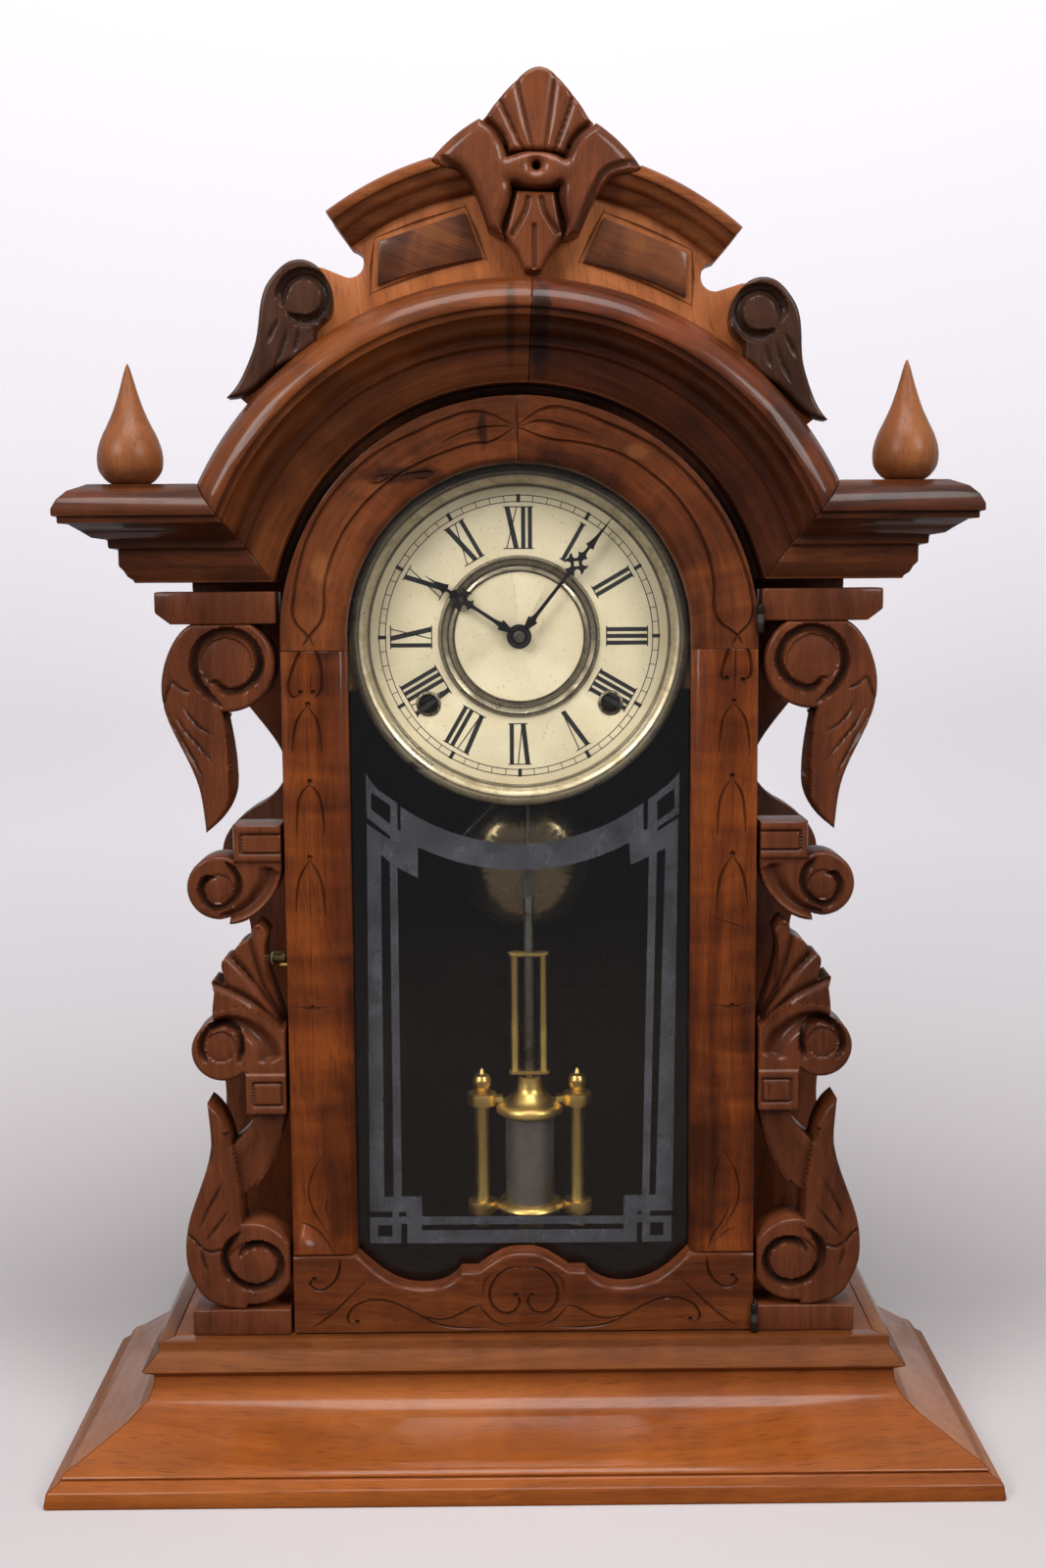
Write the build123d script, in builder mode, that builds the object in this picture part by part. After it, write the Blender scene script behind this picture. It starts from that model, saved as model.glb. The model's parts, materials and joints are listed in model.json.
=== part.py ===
from build123d import *

import os
from math import atan2, cos, degrees, hypot, radians, sin, sqrt

# Overall case. X runs to the viewer's right, Z runs up and the clock faces -Y.
overall_width = 416.0
overall_depth = 160.0
half_depth = overall_depth / 2
case_back_y = half_depth
seam = 0.1
cut_overrun = 1.0

# Base mouldings and floor
base_height = 57.0
base_projection = 36.0
base_inner_set = 13.5
base_floor_thickness = 11.0
base_lip_x = overall_width / 2 - base_projection
base_lip_y = base_projection - half_depth
base_profile_shares = [
    (-0.189, 1.0), (-0.189, 0.921), (0.0, 0.793), (-0.139, 0.737), (-0.128, 0.649), (-0.058, 0.556),
    (0.144, 0.444), (0.389, 0.36), (0.667, 0.267), (0.767, 0.246), (0.833, 0.202), (0.839, 0.175),
    (0.972, 0.13), (1.0, 0.026), (1.0, 0.0), (0.5, 0.0),
]

# Heights of the brackets between base and hood, which set the height of the door
bracket_foot_height = 12.0
bracket_height = 310.0
bracket_cap_height = 14.0
bracket_hood_gap = 4.0
cornice_rise = 25.0

# Door
door_radius = 104.0
door_thickness = 16.0
door_setback = 12.7
door_floor_gap = 1.0
door_frame_width = 28.7
door_arch_leg = 5.0
door_case_gap = 0.3
door_open_radius = door_radius - door_frame_width
door_front_y = base_lip_y + door_setback
door_back_y = door_front_y + door_thickness
door_bottom_z = base_height + door_floor_gap
bracket_stack = bracket_foot_height + bracket_height + bracket_cap_height + bracket_hood_gap
arch_z = base_height + bracket_stack - cornice_rise
arch_joint_z = arch_z - door_arch_leg
rail_height = 36.5
rail_hump_shares = [(0.273, 0.767), (0.23, 0.835), (0.131, 0.959), (0.0, 1.005)]
rail_hollow_shares = [(1.0, 1.0), (0.93, 0.857), (0.78, 0.63), (0.585, 0.548), (0.47, 0.6), (0.373, 0.767)]

# Door glass
glass_thickness = 2.0
glass_seat = 4.0
glass_lap = 6.0
glass_clearance = 0.3
glass_back_y = door_back_y - glass_seat
glass_radius = door_open_radius + glass_lap
glass_bottom_z = door_bottom_z + rail_height * min(v for u, v in rail_hollow_shares) - glass_lap

# Case boards
case_board = 11.0
case_side_gap = 1.6
back_board_thickness = 6.0
case_half_width = door_radius + case_side_gap
case_inner_half = case_half_width - case_board
case_front_y = door_back_y + door_case_gap
back_board_y = case_back_y - back_board_thickness

# Hood, cornice and arch moulding
hood_lead = 1.7
hood_gap = 5.0
hood_board_thickness = 14.0
hood_half_width = 166.0
hood_depth = 91.0
cornice_height = 41.5
cornice_projection = 28.0
shoulder_board_thickness = 8.0
hood_lean = 2.4
hood_front_y = door_front_y - hood_lead
hood_back_y = hood_front_y + hood_depth
hood_backing = case_front_y - hood_front_y
cornice_z = arch_z + cornice_rise
cornice_top_z = cornice_z + cornice_height
arch_inner_radius = door_radius + hood_gap
arch_outer_radius = arch_inner_radius + cornice_height
cornice_profile_shares = [
    (0.0, 0.0), (0.0, 0.024), (0.082, 0.065), (0.132, 0.13), (0.189, 0.173), (0.189, 0.34),
    (0.314, 0.357), (0.321, 0.441), (0.518, 0.463), (0.643, 0.525), (0.804, 0.598), (0.929, 0.602),
    (0.929, 0.667), (1.0, 0.675), (1.0, 0.747), (0.929, 0.843), (0.804, 0.928), (0.554, 1.0),
]

# Crest, laid out from the centre of the arch
crest_lead = 1.0
crest_board_thickness = 14.0
crest_top_centre = 65.4
crest_top_radius = 139.5
crest_moulding_height = 16.2
crest_moulding_projection = 12.0
crest_moulding_lap = 2.4
crest_moulding_start = 9.0
crest_moulding_end = 38.5
crest_notch_bulge = 6.5
crest_half_width = 126.5
crest_rise = 236.0
crest_panel_thickness = 2.0
crest_cartouche_thickness = 16.0
crest_palmette_thickness = 11.0
crest_drop_thickness = 11.0
crest_volute_thickness = 14.0
crest_eye_radius = 10.0
crest_eye_groove = 1.6
crest_eye_depth = 2.5
crest_pin_radius = 1.5
crest_pin_rise = 195.6
crest_front_y = hood_front_y - crest_lead
crest_back_y = crest_front_y + crest_board_thickness
crest_seat_radius = arch_outer_radius + seam
crest_profile_shares = [
    (0.0, 0.0), (0.17, 0.02), (0.32, 0.13), (0.42, 0.33), (0.45, 0.37), (0.62, 0.4),
    (0.75, 0.5), (0.8, 0.68), (0.97, 0.7), (1.0, 0.75), (1.0, 0.92), (0.85, 1.0),
]
crest_board_shares = [(0.623, 0.635), (0.702, 0.65), (0.755, 0.648), (0.8, 0.638), (0.862, 0.6),
                      (0.885, 0.551), (0.893, 0.514), (0.921, 0.466), (0.981, 0.421)]
crest_peak_shares = [(0.155, 0.8), (0.155, 0.85), (0.15, 0.9), (0.115, 0.932), (0.055, 0.972), (0.0, 0.984),
                     (0.0, 0.8)]
crest_volute_shares = [
    (0.754, 0.654), (0.81, 0.647), (0.848, 0.628), (0.877, 0.604), (0.896, 0.553), (0.905, 0.513),
    (0.935, 0.466), (0.962, 0.436), (1.0, 0.411),
]
crest_volute_inner_shares = [
    (1.0, 0.411), (0.937, 0.42), (0.826, 0.47), (0.713, 0.517), (0.711, 0.535), (0.674, 0.557),
    (0.659, 0.59), (0.677, 0.624), (0.704, 0.642), (0.754, 0.654),
]
crest_eye_shares = (0.749, 0.59)
crest_cartouche_shares = [
    [(0.0, 0.854), (0.05, 0.852), (0.097, 0.842)],
    [(0.097, 0.842), (0.13, 0.88), (0.192, 0.906)],
    [(0.192, 0.906), (0.26, 0.882), (0.345, 0.838)],
    [(0.345, 0.838), (0.34, 0.83), (0.27, 0.82), (0.217, 0.797), (0.175, 0.754), (0.15, 0.719)],
    [(0.15, 0.719), (0.12, 0.712), (0.098, 0.707)],
    [(0.098, 0.707), (0.107, 0.724), (0.085, 0.765), (0.081, 0.796)],
    [(0.081, 0.796), (0.0, 0.792)],
]
crest_palmette_shares = [
    [(0.0, 0.859), (0.05, 0.858), (0.09, 0.854)],
    [(0.09, 0.854), (0.12, 0.888), (0.172, 0.91)],
    [(0.172, 0.91), (0.133, 0.941), (0.076, 0.975), (0.024, 0.997), (0.0, 1.0)],
]
crest_drop_shares = [
    (0.0, 0.788), (0.064, 0.788), (0.095, 0.711), (0.052, 0.68), (0.027, 0.652), (0.0, 0.652),
]
crest_panel_shares = [(0.232, 0.753), (0.512, 0.698), (0.515, 0.621), (0.169, 0.676)]

# Side brackets. Points are shares of the reach from the case side and of the height over the foot.
bracket_reach = 50.8
bracket_depth = 20.0
bracket_foot_reach = 44.4
bracket_cap_reach = 52.4
bracket_cap_chamfer = 6.6
bracket_cap_slope = 5.0
bracket_groove_depth = 3.0
bracket_block_lead = 1.5
bracket_front_y = door_front_y
bracket_back_y = bracket_front_y + bracket_depth
bracket_z = base_height + bracket_foot_height
bracket_cap_z = bracket_z + bracket_height
bracket_scroll_shares = [
    (0.431, 0.943, 0.405), (0.543, 0.626, 0.28), (0.555, 0.388, 0.27), (0.34, 0.069, 0.38),
]
bracket_eye_shares = [(0.25, 0.31), (0.14, 0.2), (0.155, 0.215), (0.235, 0.29)]
bracket_leaf_shares = [
    [(0.45, 1.0), (0.785, 0.994), (0.941, 0.955), (0.994, 0.916), (0.982, 0.887), (0.86, 0.834),
     (0.689, 0.766), (0.66, 0.736), (0.642, 0.705)],
    [(0.642, 0.705), (0.543, 0.72), (0.413, 0.761), (0.405, 0.786), (0.42, 0.82), (0.478, 0.878)],
    [(0.478, 0.878), (0.45, 1.0)],
]
bracket_stem_shares = [
    [(0.455, 0.872), (0.436, 0.853), (0.36, 0.831), (0.22, 0.803), (0.11, 0.781), (0.02, 0.753)],
    [(0.02, 0.753), (0.0, 0.715)],
    [(0.0, 0.715), (0.325, 0.715)],
    [(0.325, 0.715), (0.352, 0.734), (0.415, 0.75), (0.44, 0.775)],
    [(0.44, 0.775), (0.455, 0.872)],
]
bracket_neck_shares = [
    [(0.0, 0.664), (0.0, 0.655), (0.063, 0.618), (0.163, 0.596), (0.293, 0.58), (0.462, 0.573)],
    [(0.462, 0.573), (0.4, 0.664)],
    [(0.4, 0.664), (0.0, 0.664)],
]
bracket_fan_shares = [
    [(0.138, 0.557), (0.172, 0.523), (0.142, 0.495), (0.059, 0.452), (0.0, 0.414)],
    [(0.0, 0.414), (0.0, 0.353)],
    [(0.0, 0.353), (0.36, 0.353)],
    [(0.36, 0.353), (0.63, 0.43), (0.63, 0.454)],
    [(0.63, 0.454), (0.614, 0.473)],
    [(0.614, 0.473), (0.61, 0.49), (0.561, 0.485), (0.54, 0.506)],
    [(0.54, 0.506), (0.52, 0.522), (0.453, 0.523)],
    [(0.453, 0.523), (0.394, 0.542), (0.289, 0.551)],
    [(0.289, 0.551), (0.22, 0.573), (0.138, 0.557)],
]
bracket_shank_shares = [
    [(0.0, 0.297), (0.05, 0.264), (0.156, 0.217), (0.297, 0.184), (0.41, 0.17)],
    [(0.41, 0.17), (0.6, 0.225)],
    [(0.6, 0.225), (0.492, 0.245), (0.374, 0.264), (0.289, 0.297)],
    [(0.289, 0.297), (0.0, 0.297)],
]
bracket_low_leaf_shares = [
    [(0.701, 0.31), (0.683, 0.277), (0.68, 0.245), (0.732, 0.207), (0.825, 0.165), (0.898, 0.127),
     (0.923, 0.094), (0.904, 0.061), (0.837, 0.035), (0.754, 0.016), (0.67, 0.008), (0.4, 0.0)],
    [(0.4, 0.0), (0.32, 0.06), (0.411, 0.12)],
    [(0.411, 0.12), (0.423, 0.151), (0.429, 0.189), (0.461, 0.217), (0.494, 0.245), (0.591, 0.291),
     (0.701, 0.31)],
]
bracket_block_shares = [(0.415, 0.664, 0.716), (0.346, 0.295, 0.353)]
bracket_panel_shares = (0.1, 0.25, 0.75)

# Rear wing boards
wing_thickness = 16.0
wing_back_inset = 22.0
wing_back_y = case_back_y - wing_back_inset
wing_top_reach = 50.0
wing_shares = [
    [(0.0, 0.0), (0.87, 0.0)],
    [(0.87, 0.0), (0.9, 0.09), (0.84, 0.2), (0.775, 0.255), (0.79, 0.3), (0.84, 0.4), (0.78, 0.44),
     (0.69, 0.467), (0.5, 0.495)],
    [(0.5, 0.495), (0.6, 0.55), (0.715, 0.58), (0.75, 0.61), (0.73, 0.635), (0.6, 0.665), (0.36, 0.69)],
    [(0.36, 0.69), (0.12, 0.74), (0.43, 0.82), (0.85, 0.92), (0.97, 1.0)],
    [(0.97, 1.0), (0.0, 1.0)],
    [(0.0, 1.0), (0.0, 0.0)],
]

# Finials
finial_radius = 14.0
finial_height = 51.0
finial_offset_x = 165.5
finial_inset_y = 26.0
finial_shares = [
    (0.52, 0.0), (0.78, 0.02), (0.98, 0.11), (1.0, 0.17), (0.95, 0.32), (0.69, 0.49), (0.36, 0.69),
    (0.18, 0.83), (0.06, 1.0),
]
finial_tangents = [(1.0, 0.1), (-0.1, 1.0)]

# Hinges and latch
knuckle_radius = 1.6
hinge_pin_radius = 0.8
hinge_clearance = 0.05
hinge_leaf_thickness = 0.8
hinge_leaf_depth = 11.0
hinge_height = 12.0
hinge_play = 0.2
hinge_front_gap = 0.3
hinge_upper_rise = 8.0
hinge_lower_rise = 6.2
hinge_x = door_radius + case_side_gap / 4
hinge_y = door_front_y - knuckle_radius - hinge_front_gap
latch_rise = 226.0
latch_set = 10.0
latch_wire_radius = 0.6
latch_reach = 15.5
latch_offset = 1.9
latch_nose = 2.0
latch_gap = 0.8
latch_eye_radius = 2.4
latch_eye_half_thickness = 0.5
latch_bend_radius = 1.2
latch_screw_radius = 1.1
latch_knob_radius = 3.0
latch_knob_length = 7.0
latch_pin_radius = 1.0
latch_pin_length = 4.5
latch_y = case_front_y + latch_set

# Dial
dial_set = 7.0
dial_sheet = 0.8
dial_radius = 76.0
dial_face_radius = 66.3
dial_skirt_radius = 72.8
dial_skirt_depth = 9.0
dial_hole_radius = 4.2
bezel_rise = 5.0
bezel_profile_shares = [(0.0, 0.0), (0.02, 0.32), (0.1, 0.42), (0.2, 0.4), (0.25, 0.62), (0.45, 0.92),
                        (0.65, 1.0), (0.85, 0.78), (0.97, 0.35), (1.0, 0.0)]
ring_outer_radius = 36.2
ring_inner_radius = 28.7
ring_rise = 1.6
ring_profile_shares = [(0.0, 0.0), (0.06, 0.6), (0.18, 0.6), (0.3, 0.25), (0.62, 0.55), (0.75, 1.0),
                       (0.92, 0.9), (1.0, 0.0)]
winding_x = 40.8
winding_drop = 29.8
grommet_radius = 5.6
grommet_hole_radius = 4.6
grommet_rise = 0.8
grommet_clearance = 0.1
dial_block_half_height = 24.0
dial_block_depth = 21.0
dial_y = case_front_y + dial_set
dial_back_y = dial_y + dial_sheet
winding_z = arch_z - winding_drop

# Hands
hand_thickness = 0.8
hour_hand_lead = 2.4
minute_hand_lead = 5.4
hour_hand_length = 49.9
minute_hand_length = 66.0
hour_hand_angle = 303.2
minute_hand_angle = 38.4
hand_hub_radius = 3.9
hand_root_half_width = 1.1
hand_tip_half_width = 0.45
hand_diamond_length = 8.0
hand_diamond_half_width = 2.2
hand_cross_radius = 1.9
hand_cross_spread = 2.5
hand_arrow_length = 7.5
hand_arrow_half_width = 2.6
hour_hand_mark_shares = (0.25, 0.605, 0.78)
minute_hand_mark_shares = (0.156, 0.61, 0.78)
hand_nut_radius = 2.6
hand_nut_thickness = 1.6
hour_hand_y = dial_y - hour_hand_lead
minute_hand_y = dial_y - minute_hand_lead

# Movement plates
movement_gap = 18.0
plate_thickness = 2.0
plate_spacing = 38.0
plate_half_width = 50.0
plate_below = 50.0
plate_above = 52.0
plate_corner_radius = 6.0
pillar_radius = 2.5
pillar_nut_radius = 4.2
pillar_nut_thickness = 2.4
pillar_top_x = 44.0
pillar_top_rise = 46.0
pillar_bottom_x = 17.0
pillar_bottom_drop = 46.0
plate_screw_x = 45.0
plate_screw_rise = 34.0
plate_screw_drop = 44.0
plate_screw_radius = 1.8
plate_screw_head = 3.6
plate_screw_head_thickness = 1.8
batten_width = 14.0
running_clearance = 0.05
movement_y = dial_y + movement_gap
plate_inner_y = movement_y + plate_thickness
back_plate_y = plate_inner_y + plate_spacing
movement_back_y = back_plate_y + plate_thickness

# Motion work under the dial
arbor_radius = 1.8
pipe_radius = 3.0
motion_gear_thickness = 1.6
motion_layer_gap = 0.8
cannon_module = 0.75
hour_module = 0.72
cannon_teeth = 12
minute_teeth = 36
minute_pinion_teeth = 10
hour_teeth = 40
motion_backlash = 0.3
minute_wheel_bearing = 240.0
minute_stud_radius = 1.2
motion_distance = cannon_module * (cannon_teeth + minute_teeth) / 2 + motion_backlash
cannon_back_y = movement_y - motion_layer_gap
cannon_front_y = cannon_back_y - motion_gear_thickness
hour_back_y = cannon_front_y - motion_layer_gap
hour_front_y = hour_back_y - motion_gear_thickness

# Going and striking trains
addendum_share = 0.8
dedendum_share = 1.15
tooth_tip_share = 0.18
tooth_pitch_share = 0.38
tooth_root_share = 0.5
great_module = 0.6
train_module = 0.5
great_teeth = 80
great_pinion_teeth = 10
second_teeth = 96
centre_teeth = 72
third_teeth = 60
pinion_teeth = 8
train_backlash = 0.25
train_gear_thickness = 1.2
train_arbor_radius = 1.0
spring_strip = 0.9
spring_turns = 5.5
spring_inner_radius = 2.8
spring_outer_radius = 21.5
spring_width = 16.0
spring_steps_per_turn = 12
winding_arbor_radius = 2.5
winding_pivot_radius = 1.5
winding_square = 3.3
winding_square_set = 5.0
ratchet_radius = 8.0
ratchet_teeth = 14
ratchet_tooth_share = 0.8
ratchet_thickness = 1.5
click_gap = 0.4
click_width = 3.0
click_length = 7.0
spring_set = 6.0
great_set = 24.0
second_set = 2.0
centre_set = 30.0
third_set = 4.2

# Escapement and pendulum hanging
pendulum_x = 3.5
pendulum_pivot_rise = 37.5
escape_teeth = 42
escape_radius = 12.0
escape_tooth_depth = 2.2
escape_tooth_tip = 0.2
escape_tooth_root = 0.9
escape_rim = 1.6
escape_hub_radius = 2.6
escape_spokes = 4
escape_thickness = 1.0
verge_distance = 16.0
pallet_span_teeth = 9.5
pallet_thickness = 0.4
pallet_entry = 0.1
pallet_length = 3.4
verge_strip = 1.0
verge_width = 1.4
verge_hub_radius = 2.2
verge_pin_radius = 0.9
crutch_radius = 0.5
crutch_length = 19.5
crutch_lead = 1.2
fork_half_gap = 1.5
fork_length = 3.8
stud_width = 6.0
stud_height = 8.5
stud_clearance = 0.6
stud_neck_height = 4.5
stud_slot = 2.4
stud_front_lead = 8.5
stud_depth = 4.4
hanging_pin_radius = 0.7
hanging_pin_length = 5.0
hanging_play = 0.3
hanging_strip = 0.3
hanging_strip_width = 2.4
hanging_drop = 4.0
pendulum_lead = 6.0
leader_radius = 0.8
leader_block_height = 6.0
leader_block_width = 3.2
leader_loop_top = 23.0
leader_loop_height = 29.0
leader_loop_half_width = 11.0
pendulum_y = movement_y - pendulum_lead
pendulum_pivot_z = arch_z + pendulum_pivot_rise
escape_z = pendulum_pivot_z - verge_distance
escape_back_y = movement_y - motion_layer_gap - pallet_entry

# Pendulum rod and bob, as drops below the pivot
hook_drop = 145.0
hook_height = 12.6
hook_half_width = 3.35
hook_thickness = 2.4
hook_notch_half_width = 1.3
hook_notch_height = 4.0
rod_radius = 2.3
grid_top_drop = 183.5
grid_bottom_drop = 241.0
grid_rod_radius = 1.9
grid_rod_offset = 6.65
grid_plate_half_width = 9.55
grid_plate_thickness = 1.6
grid_plate_depth = 5.6
cap_top_drop = 242.6
cap_bottom_drop = 260.4
cap_neck_radius = 5.4
cap_rim_radius = 15.7
cap_profile_shares = [(1.0, 0.0), (1.0, 0.08), (1.22, 0.35), (2.0, 0.6), (2.7, 0.7), (2.9, 0.78),
                      (2.9, 0.9), (2.45, 1.0)]
cylinder_radius = 11.35
cylinder_bottom_drop = 301.4
foot_disc_height = 6.2
foot_disc_profile_shares = [(0.8, 0.0), (0.93, 0.12), (1.0, 0.4), (0.94, 0.72), (0.6, 1.0)]
bob_nut_radius = 6.0
bob_nut_height = 8.0
tail_radius = 1.9
tail_length = 12.0
pillar_offset_x = 22.2
side_pillar_radius = 3.25
ear_radius = 6.6
ear_height = 5.4
ear_drop = 253.0
side_nut_radius = 4.1
side_nut_height = 6.4
acorn_radius = 4.4
acorn_height = 11.7
acorn_profile_shares = [(0.55, 0.0), (0.62, 0.08), (0.95, 0.3), (1.0, 0.52), (0.8, 0.72), (0.34, 0.8),
                        (0.22, 0.92), (0.1, 1.0)]

# Bell and hammer
bell_x = 3.5
bell_drop = 112.2
bell_radius = 33.8
bell_depth = 17.0
bell_wall = 1.5
bell_back_gap = 14.0
bell_post_radius = 3.0
bell_nut_radius = 5.0
bell_nut_height = 3.2
bell_profile_shares = [(1.0, 0.0), (0.965, 0.1), (0.93, 0.35), (0.86, 0.6), (0.7, 0.82), (0.4, 0.96)]
hammer_x = -8.0
hammer_drop = 44.0
hammer_wire_radius = 0.8
hammer_head_radius = 4.0
hammer_head_length = 8.0
hammer_strike_bearing = -78.0
hammer_gap = 0.6
hammer_hub_radius = 2.2
hammer_wire_set = 33.0
hammer_knee_x = 3.0
hammer_knee_drop = 37.0
bell_z = arch_z - bell_drop
bell_rim_y = back_board_y - bell_back_gap
bell_apex_y = bell_rim_y - bell_depth


def front(y, x=0, z=0):
    """Plane that faces the viewer at a depth, with local X to the right and local Y up."""
    return Plane(origin=(x, y, z), x_dir=(1, 0, 0), z_dir=(0, -1, 0))


def crest_plane(y):
    """Front-facing plane on the arch centre, leaning with the crest."""
    lean = radians(hood_lean)
    return Plane(origin=(0, y, arch_z), x_dir=(cos(lean), 0, -sin(lean)), z_dir=(0, -1, 0))


crest_mirror = Plane(
    origin=(0, 0, arch_z), z_dir=(cos(radians(hood_lean)), 0, -sin(radians(hood_lean)))
)


def bearing(angle, distance):
    """Offset of a point at a clockwise angle from the top."""
    return distance * sin(radians(angle)), distance * cos(radians(angle))


def crossing(first, first_radius, second, second_radius, side):
    """Point at given distances from two points, on one side of the line between them."""
    dx = second[0] - first[0]
    dz = second[1] - first[1]
    span = hypot(dx, dz)
    along = (first_radius ** 2 - second_radius ** 2 + span ** 2) / (2 * span)
    across = sqrt(first_radius ** 2 - along ** 2) * side
    return (
        first[0] + (along * dx + across * dz) / span,
        first[1] + (along * dz - across * dx) / span,
    )


def spread(shares, width, height):
    """Points from shares of a width and a height."""
    return [(u * width, v * height) for u, v in shares]


def runs_face(runs, width, height):
    """Closed face from runs of shares, straight for two points and smooth for more."""
    with BuildLine() as outline:
        for run in runs:
            points = spread(run, width, height)
            if len(points) == 2:
                Line(*points)
            else:
                Spline(*points)
    make_face(outline.edges())


def points_face(points):
    """Closed face with straight sides."""
    with BuildLine() as outline:
        Polyline(*points, close=True)
    make_face(outline.edges())


def board(x0, x1, y0, y1, z0, z1):
    """Rectangular board between limits."""
    with BuildSketch(Plane.XY.offset(z0)) as footprint:
        with Locations(((x0 + x1) / 2, (y0 + y1) / 2)):
            Rectangle(x1 - x0, y1 - y0)
    extrude(footprint.sketch, amount=z1 - z0)


def cylinder_y(x, z, radius, y0, y1, mode=Mode.ADD):
    """Cylinder along Y between two depths."""
    with BuildSketch(front(y1, x, z)) as disc:
        Circle(radius)
    extrude(disc.sketch, amount=y1 - y0, mode=mode)


def turned(x, y, profile, mode=Mode.ADD):
    """Upright turning about a vertical axis from (radius, height) points."""
    with BuildSketch(Plane(origin=(x, y, 0), x_dir=(1, 0, 0), z_dir=(0, -1, 0))) as section:
        points_face(profile)
    revolve(section.sketch, axis=Axis((x, y, 0), (0, 0, 1)), mode=mode)


def turned_y(x, z, profile, mode=Mode.ADD):
    """Turning about an axis along Y from (radius, depth) points."""
    with BuildSketch(Plane(origin=(x, 0, z), x_dir=(1, 0, 0), z_dir=(0, 0, 1))) as section:
        points_face(profile)
    revolve(section.sketch, axis=Axis((x, 0, z), (0, 1, 0)), mode=mode)


def gear_face(teeth, module, phase=0):
    """Gear outline with straight-sided teeth and one tooth at the phase angle."""
    pitch = 360 / teeth
    radius = teeth * module / 2
    root = radius - dedendum_share * module
    tip = radius + addendum_share * module
    flanks = [(-tooth_root_share, root), (-tooth_pitch_share, radius), (-tooth_tip_share, tip),
              (tooth_tip_share, tip), (tooth_pitch_share, radius), (tooth_root_share, root)]
    points = []
    for tooth in range(teeth):
        for share, distance in flanks:
            points.append(bearing(phase + pitch * (tooth + share / 2), distance))
    points_face(points)


def gear(x, z, teeth, module, y0, y1, phase=0):
    """Gear between two depths on an axis along Y."""
    with BuildSketch(front(y1, x, z)) as outline:
        gear_face(teeth, module, phase)
    extrude(outline.sketch, amount=y1 - y0)


def cornice_points(inner):
    """Cornice section as (projection, height) points with its backing."""
    section = spread(cornice_profile_shares, cornice_projection, cornice_height)
    return [(-inner, 0)] + section + [(-inner, cornice_height)]


def base_points():
    """Base section as (projection, height) points with a sloped inner face."""
    section = spread(base_profile_shares, base_projection, base_height)
    return section + [(-base_inner_set, base_height / 2), (-base_inner_set, base_height)]


# Base: three mitred mouldings and the floor inside them
with BuildPart() as base_front:
    with BuildSketch(Plane(origin=(0, base_lip_y, 0), x_dir=(0, -1, 0), z_dir=(-1, 0, 0))):
        points_face(base_points())
    extrude(amount=overall_width / 2, both=True)
    for side in (-1, 1):
        mitre = (side * (base_lip_x - seam), base_lip_y, 0)
        split(bisect_by=Plane(origin=mitre, z_dir=(side, 1, 0)), keep=Keep.BOTTOM)

with BuildPart() as base_side:
    with BuildSketch(front(case_back_y, base_lip_x)):
        points_face(base_points())
    extrude(amount=overall_depth)
    split(bisect_by=Plane(origin=(base_lip_x, base_lip_y, 0), z_dir=(1, 1, 0)), keep=Keep.TOP)

with BuildPart() as base_moulding:
    add(base_front.part)
    add(base_side.part)
    mirror(base_side.part, about=Plane.YZ)

floor_half_width = base_lip_x - base_inner_set
with BuildPart() as base_floor:
    board(-floor_half_width, floor_half_width, base_lip_y + base_inner_set, case_back_y,
          base_height - base_floor_thickness, base_height)

# Case: sides, arched shell and back board
with BuildPart() as case_side_right:
    board(case_inner_half, case_half_width, case_front_y, back_board_y, base_height, arch_z)

with BuildPart() as case_side_left:
    mirror(case_side_right.part, about=Plane.YZ)

with BuildPart() as case_arch:
    with BuildSketch(front(back_board_y, 0, arch_z)):
        Circle(case_half_width)
        Circle(case_inner_half, mode=Mode.SUBTRACT)
        with Locations((0, -case_half_width / 2)):
            Rectangle(2 * case_half_width, case_half_width, mode=Mode.SUBTRACT)
    extrude(amount=back_board_y - case_front_y)

with BuildPart() as back_board:
    with BuildSketch(front(case_back_y, 0, arch_z)):
        Circle(case_half_width)
        with Locations((0, (base_height - arch_z) / 2)):
            Rectangle(2 * case_half_width, arch_z - base_height)
    extrude(amount=back_board_thickness)

# Hood: board round the shell, shoulder boards, cornice returns and the arch moulding
shell_clear_radius = case_half_width + seam
hood_inner_x = hood_half_width - hood_backing

with BuildPart() as hood_board:
    with BuildSketch(front(case_front_y + hood_board_thickness, 0, arch_z)):
        Circle(arch_outer_radius)
        with Locations((0, cornice_rise + cornice_height / 2)):
            Rectangle(2 * hood_inner_x, cornice_height)
        Circle(shell_clear_radius, mode=Mode.SUBTRACT)
        with Locations((0, cornice_rise + arch_outer_radius)):
            Rectangle(2 * hood_inner_x, 2 * arch_outer_radius, mode=Mode.INTERSECT)
    extrude(amount=hood_board_thickness)

with BuildPart() as shoulder_boards:
    with BuildSketch(front(hood_back_y, 0, arch_z)):
        for level in (cornice_rise, cornice_rise + cornice_height - shoulder_board_thickness):
            with Locations((0, level + shoulder_board_thickness / 2)):
                Rectangle(2 * hood_inner_x, shoulder_board_thickness)
        Circle(shell_clear_radius, mode=Mode.SUBTRACT)
    extrude(amount=hood_back_y - case_front_y - hood_board_thickness)

mitre_inner_x = sqrt(arch_inner_radius ** 2 - cornice_rise ** 2)
mitre_outer_x = sqrt(arch_outer_radius ** 2 - (cornice_rise + cornice_height) ** 2)
mitre_run = mitre_outer_x - mitre_inner_x
mitre_normal = (cornice_height, 0, -mitre_run)

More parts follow.
